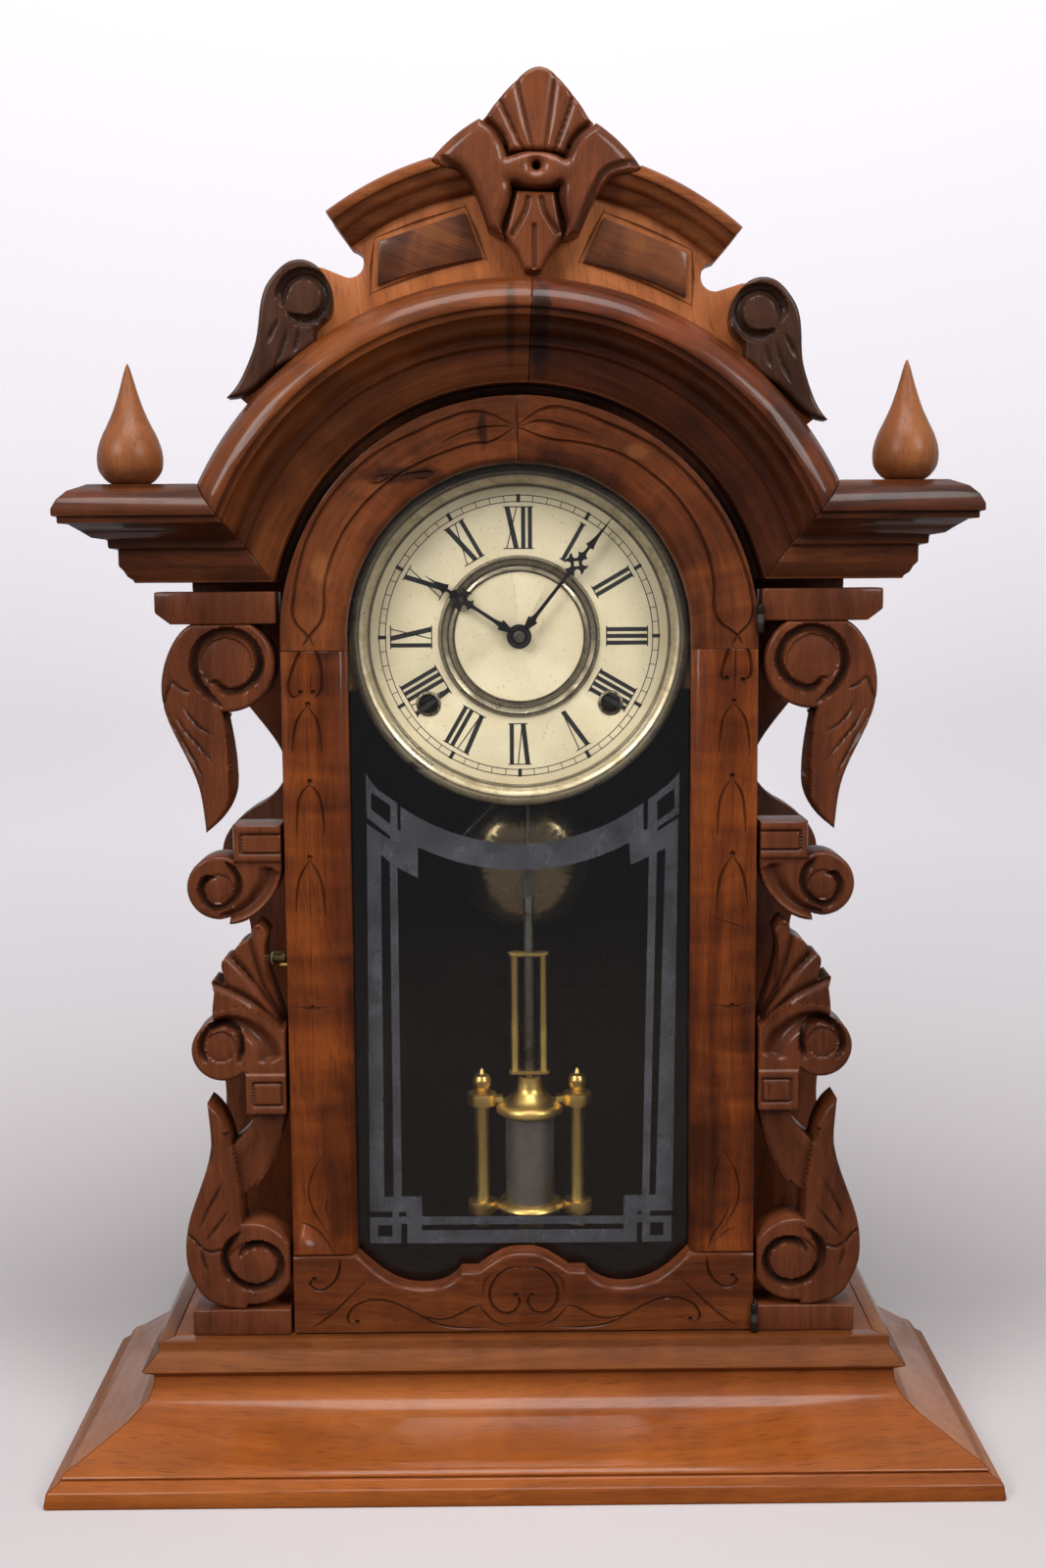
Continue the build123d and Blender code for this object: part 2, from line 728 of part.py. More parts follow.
with BuildPart() as cornice_front:
    with BuildSketch(Plane(origin=(0, hood_front_y, cornice_z), x_dir=(0, -1, 0), z_dir=(-1, 0, 0))):
        points_face(cornice_points(hood_backing))
    extrude(amount=-hood_half_width - cornice_projection)
    arch_mitre = Plane(origin=(mitre_inner_x + seam, 0, cornice_z), z_dir=mitre_normal)
    split(bisect_by=arch_mitre, keep=Keep.TOP)
    corner = (hood_half_width - seam, hood_front_y, cornice_z)
    split(bisect_by=Plane(origin=corner, z_dir=(1, 1, 0)), keep=Keep.BOTTOM)

with BuildPart() as cornice_return:
    with BuildSketch(front(hood_back_y, hood_half_width, cornice_z)):
        points_face(cornice_points(hood_backing))
    extrude(amount=hood_depth + cornice_projection)
    corner = (hood_half_width, hood_front_y, cornice_z)
    split(bisect_by=Plane(origin=corner, z_dir=(1, 1, 0)), keep=Keep.TOP)

with BuildPart() as cornice_right:
    add(cornice_front.part)
    add(cornice_return.part)

with BuildPart() as cornice_left:
    mirror(cornice_right.part, about=Plane.YZ)


def arch_moulding_half(side):
    """Half of the arch moulding, from the leaning top seam to the shoulder mitre."""
    start = radians(hood_lean + side * degrees(seam / arch_outer_radius))
    section_plane = Plane(
        origin=(0, hood_front_y, arch_z), x_dir=(sin(start), 0, cos(start)),
        z_dir=(cos(start), 0, -sin(start)),
    )
    profile = [(arch_inner_radius + height, out) for out, height in cornice_points(hood_backing)]
    with BuildPart() as half:
        with BuildSketch(section_plane):
            points_face(profile)
        revolve(axis=Axis((0, hood_front_y, arch_z), (0, side, 0)), revolution_arc=90)
        mitre = (side * mitre_inner_x, 0, cornice_z)
        normal = (side * cornice_height, 0, -mitre_run)
        split(bisect_by=Plane(origin=mitre, z_dir=normal), keep=Keep.BOTTOM)
    return half


arch_moulding_right = arch_moulding_half(1)
arch_moulding_left = arch_moulding_half(-1)

# Crest board with its round notches, top mouldings and burl panels
crest_board_radius = crest_top_radius - crest_moulding_lap
end_angle = radians(crest_moulding_end)


def on_crest_arc(radius):
    """Point of the crest's end line at a radius of its top arc."""
    return radius * sin(end_angle), crest_top_centre + radius * cos(end_angle)


board_corner = on_crest_arc(crest_board_radius)
notch_start = on_crest_arc(crest_top_radius - crest_moulding_height)
board_outline = spread(crest_board_shares, crest_half_width, crest_rise)
notch_end = board_outline[0]
notch_mid_x = (notch_start[0] + notch_end[0]) / 2 - crest_notch_bulge

with BuildPart() as crest_half:
    with BuildSketch(crest_plane(crest_back_y)):
        with BuildLine():
            top = (0, crest_top_centre + crest_board_radius)
            half_angle = end_angle / 2
            crown = (crest_board_radius * sin(half_angle),
                     crest_top_centre + crest_board_radius * cos(half_angle))
            ThreePointArc(top, crown, board_corner)
            Line(board_corner, notch_start)
            ThreePointArc(notch_start, (notch_mid_x, (notch_start[1] + notch_end[1]) / 2), notch_end)
            Line(notch_end, board_outline[1])
            Spline(*board_outline[1:])
            Polyline(board_outline[-1], (0, 0), top)
        make_face()
        Circle(crest_seat_radius, mode=Mode.SUBTRACT)
    extrude(amount=crest_board_thickness)
    with BuildSketch(crest_plane(crest_back_y)):
        points_face(spread(crest_peak_shares, crest_half_width, crest_rise))
    extrude(amount=crest_board_thickness)

with BuildPart() as crest_board:
    add(crest_half.part)
    mirror(crest_half.part, about=crest_mirror)

with BuildPart() as crest_moulding_right:
    lean = radians(hood_lean)
    centre = (crest_top_centre * sin(lean), crest_front_y, arch_z + crest_top_centre * cos(lean))
    start = radians(hood_lean + crest_moulding_start)
    section_plane = Plane(
        origin=centre, x_dir=(sin(start), 0, cos(start)), z_dir=(cos(start), 0, -sin(start))
    )
    bottom = crest_top_radius - crest_moulding_height
    section = spread(crest_profile_shares, crest_moulding_projection, crest_moulding_height)
    with BuildSketch(section_plane):
        points_face([(bottom + height, out) for out, height in section] + [(crest_top_radius, 0)])
    revolve(axis=Axis(centre, (0, 1, 0)), revolution_arc=crest_moulding_end - crest_moulding_start)

with BuildPart() as crest_panel_right:
    inner_top, outer_top, outer_bottom, inner_bottom = spread(
        crest_panel_shares, crest_half_width, crest_rise
    )
    with BuildSketch(crest_plane(crest_front_y)):
        with BuildLine():
            rise = hypot(inner_top[0], inner_top[1] - crest_top_centre)
            middle = atan2(inner_top[0] + outer_top[0], inner_top[1] + outer_top[1] - 2 * crest_top_centre)
            ThreePointArc(inner_top, (rise * sin(middle), crest_top_centre + rise * cos(middle)), outer_top)
            Line(outer_top, outer_bottom)
            sweep_radius = hypot(*outer_bottom)
            middle = atan2(outer_bottom[0] + inner_bottom[0], outer_bottom[1] + inner_bottom[1])
            ThreePointArc(
                outer_bottom, (sweep_radius * sin(middle), sweep_radius * cos(middle)), inner_bottom
            )
            Line(inner_bottom, inner_top)
        make_face()
    extrude(amount=crest_panel_thickness)

with BuildPart() as crest_panels:
    add(crest_panel_right.part)
    mirror(crest_panel_right.part, about=crest_mirror)


def mirrored_carving(runs, thickness, pin=False):
    """Carved piece on the crest board, from the right half of its outline."""
    with BuildPart() as carving:
        with BuildSketch(crest_plane(crest_front_y)):
            with BuildLine():
                for run in runs:
                    points = spread(run, crest_half_width, crest_rise)
                    if len(points) == 2:
                        Line(*points)
                    else:
                        Spline(*points)
                mirror(about=Plane.YZ)
            make_face()
            if pin:
                with Locations((0, crest_pin_rise)):
                    Circle(crest_pin_radius, mode=Mode.SUBTRACT)
        extrude(amount=thickness)
    return carving


crest_cartouche = mirrored_carving(crest_cartouche_shares, crest_cartouche_thickness, pin=True)
palmette = mirrored_carving(crest_palmette_shares, crest_palmette_thickness)
drop_runs = [[a, b] for a, b in zip(crest_drop_shares, crest_drop_shares[1:])]
drop = mirrored_carving(drop_runs, crest_drop_thickness)

with BuildPart() as crest_leaves:
    add(palmette.part)
    add(drop.part)

with BuildPart() as crest_mouldings:
    add(crest_moulding_right.part)
    mirror(crest_moulding_right.part, about=crest_mirror)
    add(crest_cartouche.part, mode=Mode.SUBTRACT)

with BuildPart() as crest_volute_right:
    with BuildSketch(crest_plane(crest_front_y)):
        with BuildLine():
            Spline(*spread(crest_volute_shares, crest_half_width, crest_rise))
            Spline(*spread(crest_volute_inner_shares, crest_half_width, crest_rise))
        make_face()
        Circle(crest_seat_radius, mode=Mode.SUBTRACT)
    extrude(amount=crest_volute_thickness)
    eye = (crest_eye_shares[0] * crest_half_width, crest_eye_shares[1] * crest_rise)
    with BuildSketch(crest_plane(crest_front_y - crest_volute_thickness + crest_eye_depth)):
        with Locations(eye):
            Circle(crest_eye_radius)
            Circle(crest_eye_radius - crest_eye_groove, mode=Mode.SUBTRACT)
    extrude(amount=crest_eye_depth, mode=Mode.SUBTRACT)

with BuildPart() as crest_volute_left:
    mirror(crest_volute_right.part, about=crest_mirror)

# Side brackets, each sawn from one board and carved
bracket_plane = front(bracket_back_y, case_half_width, bracket_z)

with BuildPart() as bracket_right:
    with BuildSketch(bracket_plane):
        for runs in (bracket_leaf_shares, bracket_stem_shares, bracket_neck_shares, bracket_fan_shares,
                     bracket_shank_shares, bracket_low_leaf_shares):
            runs_face(runs, bracket_reach, bracket_height)
        for u, v, radius in bracket_scroll_shares:
            with Locations((u * bracket_reach, v * bracket_height)):
                Circle(radius * bracket_reach)
        with Locations((bracket_reach, bracket_height / 2)):
            Rectangle(2 * bracket_reach, bracket_height, mode=Mode.INTERSECT)
    extrude(amount=bracket_depth)
    with BuildSketch(front(bracket_front_y + bracket_groove_depth, case_half_width, bracket_z)):
        for (u, v, radius), (eye, groove) in zip(bracket_scroll_shares, bracket_eye_shares):
            with Locations((u * bracket_reach, v * bracket_height)):
                Circle(groove * bracket_reach)
                Circle(eye * bracket_reach, mode=Mode.SUBTRACT)
    extrude(amount=bracket_groove_depth, mode=Mode.SUBTRACT)
    for reach, low, high in bracket_block_shares:
        width = reach * bracket_reach
        centre = ((low + high) / 2) * bracket_height
        height = (high - low) * bracket_height
        with BuildSketch(bracket_plane):
            with Locations((width / 2, centre)):
                Rectangle(width, height)
        extrude(amount=bracket_depth + bracket_block_lead)
        margin, low_share, high_share = bracket_panel_shares
        inset = margin * width
        with BuildSketch(front(bracket_front_y, case_half_width, bracket_z)):
            with Locations((width / 2, centre)):
                Rectangle(width - 2 * inset - crest_eye_groove, height - 2 * inset - crest_eye_groove)
                Rectangle((high_share - margin) * width - inset, (high_share - low_share) * height,
                          mode=Mode.SUBTRACT)
        extrude(amount=bracket_block_lead, mode=Mode.SUBTRACT)

with BuildPart() as bracket_left:
    mirror(bracket_right.part, about=Plane.YZ)

with BuildPart() as bracket_block_pair:
    board(case_half_width, case_half_width + bracket_foot_reach, bracket_front_y, bracket_back_y,
          base_height, bracket_z)
    with BuildSketch(front(bracket_back_y, case_half_width, bracket_cap_z)):
        points_face([
            (0, 0), (bracket_cap_reach - bracket_cap_chamfer, 0),
            (bracket_cap_reach, bracket_cap_slope), (bracket_cap_reach, bracket_cap_height),
            (0, bracket_cap_height),
        ])
    extrude(amount=bracket_depth)

with BuildPart() as bracket_blocks:
    add(bracket_block_pair.part)
    mirror(bracket_block_pair.part, about=Plane.YZ)

with BuildPart() as wing_right:
    with BuildSketch(front(wing_back_y, case_half_width, base_height)):
        runs_face(wing_shares, wing_top_reach, cornice_z - base_height)
        with Locations((wing_top_reach, (cornice_z - base_height) / 2)):
            Rectangle(2 * wing_top_reach, cornice_z - base_height, mode=Mode.INTERSECT)
    extrude(amount=wing_thickness)

with BuildPart() as rear_wings:
    add(wing_right.part)
    mirror(wing_right.part, about=Plane.YZ)

# Finials on the cornice corners
finial_y = hood_front_y - cornice_projection + finial_inset_y

with BuildPart() as finials:
    for side in (-1, 1):
        with BuildSketch(front(finial_y, side * finial_offset_x, cornice_top_z)):
            points = spread(finial_shares, finial_radius, finial_height)
            with BuildLine():
                Line((0, 0), points[0])
                Spline(*points, tangents=finial_tangents)
                Polyline(points[-1], (0, finial_height), (0, 0))
            make_face()
        revolve(axis=Axis((side * finial_offset_x, finial_y, 0), (0, 0, 1)))


# Door frame: two arch halves, two stiles and the scalloped rail
def glass_rebate():
    """Cut the seat of the glass from the back of a door piece."""
    with BuildSketch(front(door_back_y + cut_overrun, 0, arch_z)) as seat:
        Circle(glass_radius + glass_clearance)
        with Locations((0, (glass_bottom_z - glass_clearance - arch_z) / 2)):
            Rectangle(2 * (glass_radius + glass_clearance), arch_z - glass_bottom_z + glass_clearance)
    extrude(seat.sketch, amount=cut_overrun + glass_seat + glass_thickness, mode=Mode.SUBTRACT)


def hinge_mortises():
    """Cut the seats of the door's hinge leaves from its right edge."""
    for z in hinge_centres:
        half = hinge_height / 2
        with BuildSketch(Plane.XY.offset(z - half)) as mortise:
            with Locations((door_radius - hinge_leaf_thickness / 2, hinge_y + hinge_leaf_depth / 2)):
                Rectangle(hinge_leaf_thickness, hinge_leaf_depth)
        extrude(mortise.sketch, amount=hinge_height, mode=Mode.SUBTRACT)


hinge_centres = (
    arch_z + hinge_upper_rise,
    door_bottom_z + hinge_lower_rise,
)


def door_arch_half(side):
    """Half of the arched door head with a short straight leg."""
    with BuildPart() as half:
        with BuildSketch(front(door_back_y, 0, arch_z)):
            Circle(door_radius)
            with Locations((0, -door_arch_leg / 2)):
                Rectangle(2 * door_radius, door_arch_leg)
            with Locations((0, -door_arch_leg - door_radius / 2)):
                Rectangle(2 * door_radius, door_radius, mode=Mode.SUBTRACT)
            Circle(door_open_radius, mode=Mode.SUBTRACT)
            with Locations((0, -door_arch_leg / 2)):
                Rectangle(2 * door_open_radius, door_arch_leg, mode=Mode.SUBTRACT)
            with Locations((side * (door_radius + seam / 2), 0)):
                Rectangle(2 * door_radius, 2 * door_radius, mode=Mode.INTERSECT)
        extrude(amount=door_thickness)
        glass_rebate()
        if side > 0:
            hinge_mortises()
    return half


door_arch_right = door_arch_half(1)
door_arch_left = door_arch_half(-1)

rail_top_z = door_bottom_z + rail_height

with BuildPart() as door_stile_right:
    board(door_open_radius, door_radius, door_front_y, door_back_y, rail_top_z, arch_joint_z)
    glass_rebate()

with BuildPart() as door_stile_left:
    mirror(door_stile_right.part, about=Plane.YZ)

with BuildPart() as door_bottom_rail:
    with BuildSketch(front(door_back_y, 0, door_bottom_z)):
        with BuildLine():
            hollow = spread(rail_hollow_shares, door_open_radius, rail_height)
            hump = spread(rail_hump_shares, door_open_radius, rail_height)
            Polyline((0, 0), (door_radius, 0), (door_radius, rail_height), hollow[0])
            Spline(*hollow)
            Line(hollow[-1], hump[0])
            Spline(*hump, tangents=[(-1, 1), (-1, 0)])
            mirror(about=Plane.YZ)
        make_face()
    extrude(amount=door_thickness)
    glass_rebate()
    hinge_mortises()

with BuildPart() as door_glass:
    with BuildSketch(front(glass_back_y, 0, arch_z)):
        Circle(glass_radius)
        with Locations((0, (glass_bottom_z - arch_z) / 2)):
            Rectangle(2 * glass_radius, arch_z - glass_bottom_z)
    extrude(amount=glass_thickness)

# Hinges: outer knuckles on the door, the middle knuckle and pin on the case
third = hinge_height / 3
leaf_front_y = hinge_y + knuckle_radius + hinge_front_gap
leaf_back_y = hinge_y + hinge_leaf_depth
door_leaf_x = door_radius - hinge_leaf_thickness
case_leaf_x = case_half_width - hinge_leaf_thickness


def knuckle(z0, z1):
    """Hinge knuckle between two heights."""
    with BuildSketch(Plane.XY.offset(z0)) as ring:
        with Locations((hinge_x, hinge_y)):
            Circle(knuckle_radius)
    extrude(ring.sketch, amount=z1 - z0)


with BuildPart() as door_hinge_leaves:
    for centre in hinge_centres:
        bottom = centre - hinge_height / 2
        top = centre + hinge_height / 2
        board(door_leaf_x, door_radius, leaf_front_y, leaf_back_y, bottom, top)
        for z0, z1 in ((bottom, bottom + third), (top - third, top)):
            knuckle(z0, z1)
            board(door_leaf_x, door_radius, hinge_y, leaf_front_y, z0, z1)
        with BuildSketch(Plane.XY.offset(bottom - cut_overrun)):
            with Locations((hinge_x, hinge_y)):
                Circle(hinge_pin_radius + hinge_clearance)
        extrude(amount=hinge_height + 2 * cut_overrun, mode=Mode.SUBTRACT)

with BuildPart() as case_hinge_leaves:
    for centre in hinge_centres:
        bottom = centre - hinge_height / 2
        top = centre + hinge_height / 2
        board(case_leaf_x, case_half_width, leaf_front_y, leaf_back_y, bottom, top)
        knuckle(bottom + third + hinge_play, top - third - hinge_play)
        board(case_leaf_x, case_half_width, hinge_y, leaf_front_y, bottom + third + hinge_play,
              top - third - hinge_play)
        with BuildSketch(Plane.XY.offset(bottom)):
            with Locations((hinge_x, hinge_y)):
                Circle(hinge_pin_radius)
        extrude(amount=hinge_height)

# Latch: a wire hook on the left of the case and a pin in the door's edge
latch_x = -case_half_width - latch_gap
side_plane = Plane(origin=(latch_x, latch_y, latch_rise), x_dir=(0, 1, 0), z_dir=(1, 0, 0))

with BuildPart() as latch_hook:
    with BuildLine() as hook_path:
        FilletPolyline(
            (latch_x, latch_y + latch_offset, latch_rise),
            (latch_x, latch_y + latch_offset, latch_rise + latch_reach + latch_offset),
            (latch_x, latch_y - latch_nose, latch_rise + latch_reach + latch_offset),
            radius=latch_bend_radius,
        )
    with BuildSketch(Plane(origin=(latch_x, latch_y + latch_offset, latch_rise))):
        Circle(latch_wire_radius)
    sweep(path=hook_path.wires()[0])
    with BuildSketch(side_plane.offset(-latch_eye_half_thickness)):
        Circle(latch_eye_radius)
    extrude(amount=2 * latch_eye_half_thickness)
    with BuildSketch(side_plane.offset(-2 * latch_wire_radius)):
        Circle(latch_screw_radius + hinge_clearance)
    extrude(amount=4 * latch_wire_radius, mode=Mode.SUBTRACT)

with BuildPart() as latch_fixings:
    with BuildSketch(side_plane.offset(latch_gap)):
        Circle(latch_screw_radius)
    extrude(amount=-latch_gap - latch_wire_radius - hinge_play)
    knob_plane = side_plane.offset(-latch_wire_radius - hinge_play)
    with BuildSketch(knob_plane):
        Circle(latch_knob_radius)
    extrude(amount=-latch_knob_length)
    fillet(edges().filter_by(GeomType.CIRCLE).group_by(SortBy.RADIUS)[-1], latch_knob_radius / 3)

with BuildPart() as latch_pin:
    pin_plane = Plane(
        origin=(-door_radius, latch_y - latch_reach, latch_rise), x_dir=(0, 1, 0), z_dir=(1, 0, 0)
    )
    with BuildSketch(pin_plane):
        Circle(latch_pin_radius)
    extrude(amount=-latch_pin_length)

# Dial: pan, bezel, centre ring and winding-hole grommets
with BuildPart() as dial_pan:
    cylinder_y(0, arch_z, dial_radius, dial_y, dial_back_y)
    with BuildSketch(front(dial_back_y + dial_skirt_depth, 0, arch_z)):
        Circle(dial_skirt_radius)
        Circle(dial_skirt_radius - dial_sheet, mode=Mode.SUBTRACT)
    extrude(amount=dial_skirt_depth)
    cylinder_y(0, arch_z, dial_hole_radius, dial_y, dial_back_y, mode=Mode.SUBTRACT)
    for side in (-1, 1):
        cylinder_y(side * winding_x, winding_z, grommet_hole_radius + grommet_clearance, dial_y,
                   dial_back_y, mode=Mode.SUBTRACT)

with BuildPart() as dial_bezel:
    width = dial_radius - dial_face_radius
    turned_y(0, arch_z, [
        (dial_face_radius + u * width, dial_y - v * bezel_rise) for u, v in bezel_profile_shares
    ])

with BuildPart() as dial_rings:
    width = ring_outer_radius - ring_inner_radius
    turned_y(0, arch_z, [
        (ring_inner_radius + u * width, dial_y - v * ring_rise) for u, v in ring_profile_shares
    ])
    for side in (-1, 1):
        inner = grommet_hole_radius - grommet_clearance
        turned_y(side * winding_x, winding_z, [
            (inner, dial_y - grommet_rise), (grommet_radius, dial_y - grommet_rise / 2),
            (grommet_radius, dial_y), (grommet_hole_radius, dial_y),
            (grommet_hole_radius, dial_back_y), (inner, dial_back_y),
        ])


# Hands
def hand_face(length, marks):
    """Hand with a diamond near the hub, a cross of four lobes and an arrowhead."""
    diamond, cross, arrow = (share * length for share in marks)
    points_face([
        (-hand_root_half_width, 0), (hand_root_half_width, 0),
        (hand_tip_half_width, arrow), (0, length), (-hand_tip_half_width, arrow),
    ])
    points_face([
        (0, diamond - hand_diamond_length / 2), (hand_diamond_half_width, diamond),
        (0, diamond + hand_diamond_length / 2), (-hand_diamond_half_width, diamond),
    ])
    points_face([
        (-hand_arrow_half_width, arrow), (0, arrow - hand_tip_half_width),
        (hand_arrow_half_width, arrow), (0, arrow + hand_arrow_length),
    ])
    with Locations((0, cross)):
        with PolarLocations(hand_cross_spread, 4):
            Circle(hand_cross_radius)
    Circle(hand_hub_radius)


def hand_plane(y, angle):
    """Plane of a hand whose local Y points along it."""
    turn = radians(angle)
    return Plane(origin=(0, y, arch_z), x_dir=(cos(turn), 0, -sin(turn)), z_dir=(0, -1, 0))


with BuildPart() as hour_hand:
    with BuildSketch(hand_plane(hour_hand_y, hour_hand_angle)):
        hand_face(hour_hand_length, hour_hand_mark_shares)
        Circle(pipe_radius, mode=Mode.SUBTRACT)
    extrude(amount=hand_thickness)

with BuildPart() as minute_hand:
    with BuildSketch(hand_plane(minute_hand_y, minute_hand_angle)):
        hand_face(minute_hand_length, minute_hand_mark_shares)
        Circle(arbor_radius, mode=Mode.SUBTRACT)
    extrude(amount=hand_thickness)

with BuildPart() as hand_nut:
    nut_y = minute_hand_y - hand_thickness
    with BuildSketch(front(nut_y, 0, arch_z)):
        Circle(hand_nut_radius)
        Circle(arbor_radius, mode=Mode.SUBTRACT)
    extrude(amount=hand_nut_thickness)
    chamfer(faces().sort_by(Axis.Y)[0].outer_wire().edges(), hand_nut_thickness / 3)

# Motion work: cannon pinion on the centre arbor, minute wheel, hour wheel with its pipe
arbor_tip_y = minute_hand_y - hand_thickness - hand_nut_thickness
stud_offset = bearing(minute_wheel_bearing, motion_distance)
minute_x = stud_offset[0]
minute_z = arch_z + stud_offset[1]
minute_facing = minute_wheel_bearing + 180

with BuildPart() as centre_arbor:
    cylinder_y(0, arch_z, arbor_radius, arbor_tip_y, movement_back_y)
    gear(0, arch_z, cannon_teeth, cannon_module, cannon_front_y, cannon_back_y, minute_wheel_bearing)

with BuildPart() as minute_wheel:
    gear(minute_x, minute_z, minute_teeth, cannon_module, cannon_front_y, cannon_back_y,
         minute_facing + 180 / minute_teeth)
    gear(minute_x, minute_z, minute_pinion_teeth, hour_module, hour_front_y, cannon_front_y, minute_facing)
    cylinder_y(minute_x, minute_z, minute_stud_radius + running_clearance, hour_front_y, cannon_back_y,
               mode=Mode.SUBTRACT)

with BuildPart() as hour_wheel:
    gear(0, arch_z, hour_teeth, hour_module, hour_front_y, hour_back_y,
         minute_wheel_bearing + 180 / hour_teeth)
    cylinder_y(0, arch_z, pipe_radius, hour_hand_y - hand_thickness, hour_back_y)
    cylinder_y(0, arch_z, arbor_radius + running_clearance, hour_hand_y - hand_thickness, hour_back_y,
               mode=Mode.SUBTRACT)

# Train layout on the plates, from the winding arbors to the escape wheel
centre = (0, arch_z)
escape_centre = (pendulum_x, escape_z)


def mesh_distance(first, second, module):
    """Distance between the arbors of two gears."""
    return module * (first + second) / 2 + train_backlash


great_distance = mesh_distance(great_teeth, great_pinion_teeth, great_module)
second_distance = mesh_distance(second_teeth, pinion_teeth, train_module)
centre_distance = mesh_distance(centre_teeth, pinion_teeth, train_module)
third_distance = mesh_distance(third_teeth, pinion_teeth, train_module)
winding_centre = (winding_x, winding_z)
second_centre = crossing(centre, second_distance, winding_centre, great_distance, -1)
third_centre = crossing(centre, centre_distance, escape_centre, third_distance, 1)
strike_centre = (-second_centre[0], second_centre[1])
strike_third = crossing(strike_centre, second_distance, (-pillar_top_x, escape_z), second_distance, -1)
mesh_bearing = degrees(atan2(winding_centre[0] - second_centre[0], winding_centre[1] - second_centre[1]))
spring_y = plate_inner_y + spring_set
great_y = plate_inner_y + great_set
ratchet_y = great_y + train_gear_thickness + motion_layer_gap

arbor_holes = [
    (0, arch_z, arbor_radius), (winding_x, winding_z, winding_arbor_radius),
    (-winding_x, winding_z, winding_arbor_radius), (second_centre[0], second_centre[1], train_arbor_radius),
    (third_centre[0], third_centre[1], train_arbor_radius),
    (strike_centre[0], strike_centre[1], train_arbor_radius),
    (strike_third[0], strike_third[1], train_arbor_radius),
    (escape_centre[0], escape_centre[1], train_arbor_radius),
    (hammer_x, arch_z - hammer_drop, train_arbor_radius),
]


def movement_plate(y, holes):
    """Rounded brass plate whose front face is at a depth, with arbor holes."""
    height = plate_above + plate_below
    with BuildSketch(front(y + plate_thickness, 0, arch_z + (plate_above - plate_below) / 2)) as blank:
        RectangleRounded(2 * plate_half_width, height, plate_corner_radius)
    extrude(blank.sketch, amount=plate_thickness)
    for x, z, radius in holes:
        cylinder_y(x, z, radius + running_clearance, y, y + plate_thickness, mode=Mode.SUBTRACT)


stud_top_z = pendulum_pivot_z + stud_clearance + stud_height
stud_front_y = movement_y - stud_front_lead
stud_left = pendulum_x - stud_width / 2
stud_right = pendulum_x + stud_width / 2

with BuildPart() as front_plate:
    movement_plate(movement_y, arbor_holes)
    cylinder_y(minute_x, minute_z, minute_stud_radius, hour_front_y, movement_y)
    cylinder_y(pendulum_x, pendulum_pivot_z, verge_pin_radius, cannon_front_y - running_clearance,
               movement_y)
    board(stud_left, stud_right, stud_front_y, movement_y, stud_top_z - stud_neck_height, stud_top_z)
    board(stud_left, stud_right, stud_front_y, stud_front_y + stud_depth,
          pendulum_pivot_z + stud_clearance, stud_top_z)
    with BuildSketch(Plane.XY.offset(pendulum_pivot_z)):
        with Locations((pendulum_x, stud_front_y + stud_depth / 2)):
            Rectangle(stud_slot, stud_depth)
    extrude(amount=stud_top_z - pendulum_pivot_z, mode=Mode.SUBTRACT)

pivot_holes = [
    (x, z, winding_pivot_radius if radius == winding_arbor_radius else radius)
    for x, z, radius in arbor_holes
]

with BuildPart() as back_plate:
    movement_plate(back_plate_y, pivot_holes)
    for side in (-1, 1):
        for rise in (plate_screw_rise, -plate_screw_drop):
            cylinder_y(side * plate_screw_x, arch_z + rise, plate_screw_radius, back_plate_y,
                       movement_back_y, mode=Mode.SUBTRACT)

with BuildPart() as movement_fixings:
    for x, rise in ((pillar_top_x, pillar_top_rise), (pillar_bottom_x, -pillar_bottom_drop)):
        for side in (-1, 1):
            cylinder_y(side * x, arch_z + rise, pillar_radius, plate_inner_y, back_plate_y)
            with BuildSketch(front(movement_y, side * x, arch_z + rise)):
                RegularPolygon(pillar_nut_radius, 6)
            extrude(amount=pillar_nut_thickness)
    for side in (-1, 1):
        for rise in (plate_screw_rise, -plate_screw_drop):
            x = side * plate_screw_x
            cylinder_y(x, arch_z + rise, plate_screw_head, back_plate_y - plate_screw_head_thickness,
                       back_plate_y)
            cylinder_y(x, arch_z + rise, plate_screw_radius - running_clearance, back_plate_y,
                       movement_back_y)

# Wooden battens that carry the movement and the dial
dial_block_x = dial_skirt_radius + door_case_gap

with BuildPart() as case_battens:
    for side in (-1, 1):
        x = side * plate_screw_x
        board(x - batten_width / 2, x + batten_width / 2, movement_back_y, back_board_y,
              arch_z - plate_below, arch_z + plate_screw_rise + batten_width / 2)
        inner, outer = sorted((side * dial_block_x, side * case_inner_half))
        board(inner, outer, dial_back_y, dial_back_y + dial_block_depth,
              arch_z - dial_block_half_height, arch_z - seam)


# Winding arbors, great wheels, mainsprings and the held trains
def ratchet_face():
    """Ratchet wheel with raked teeth."""
    pitch = 360 / ratchet_teeth
    points = []
    for tooth in range(ratchet_teeth):
        points.append(bearing(tooth * pitch, ratchet_radius))
        points.append(bearing(tooth * pitch, ratchet_radius * ratchet_tooth_share))
    points_face(points)


def winding_arbor(side):
    """Winding arbor with its square, pivots and ratchet."""
    x = side * winding_x
    with BuildPart() as arbor:
        cylinder_y(x, winding_z, winding_arbor_radius, dial_back_y + winding_square_set + cut_overrun,
                   back_plate_y - cut_overrun)
        cylinder_y(x, winding_z, winding_pivot_radius, back_plate_y - cut_overrun, movement_back_y)
        with BuildSketch(front(movement_y, x, winding_z)):
            Rectangle(winding_square, winding_square)
        extrude(amount=movement_y - dial_back_y - winding_square_set + motion_layer_gap)
        with BuildSketch(front(ratchet_y + ratchet_thickness, x, winding_z)):
            ratchet_face()
        extrude(amount=ratchet_thickness)
    return arbor


time_winding_arbor = winding_arbor(1)
strike_winding_arbor = winding_arbor(-1)

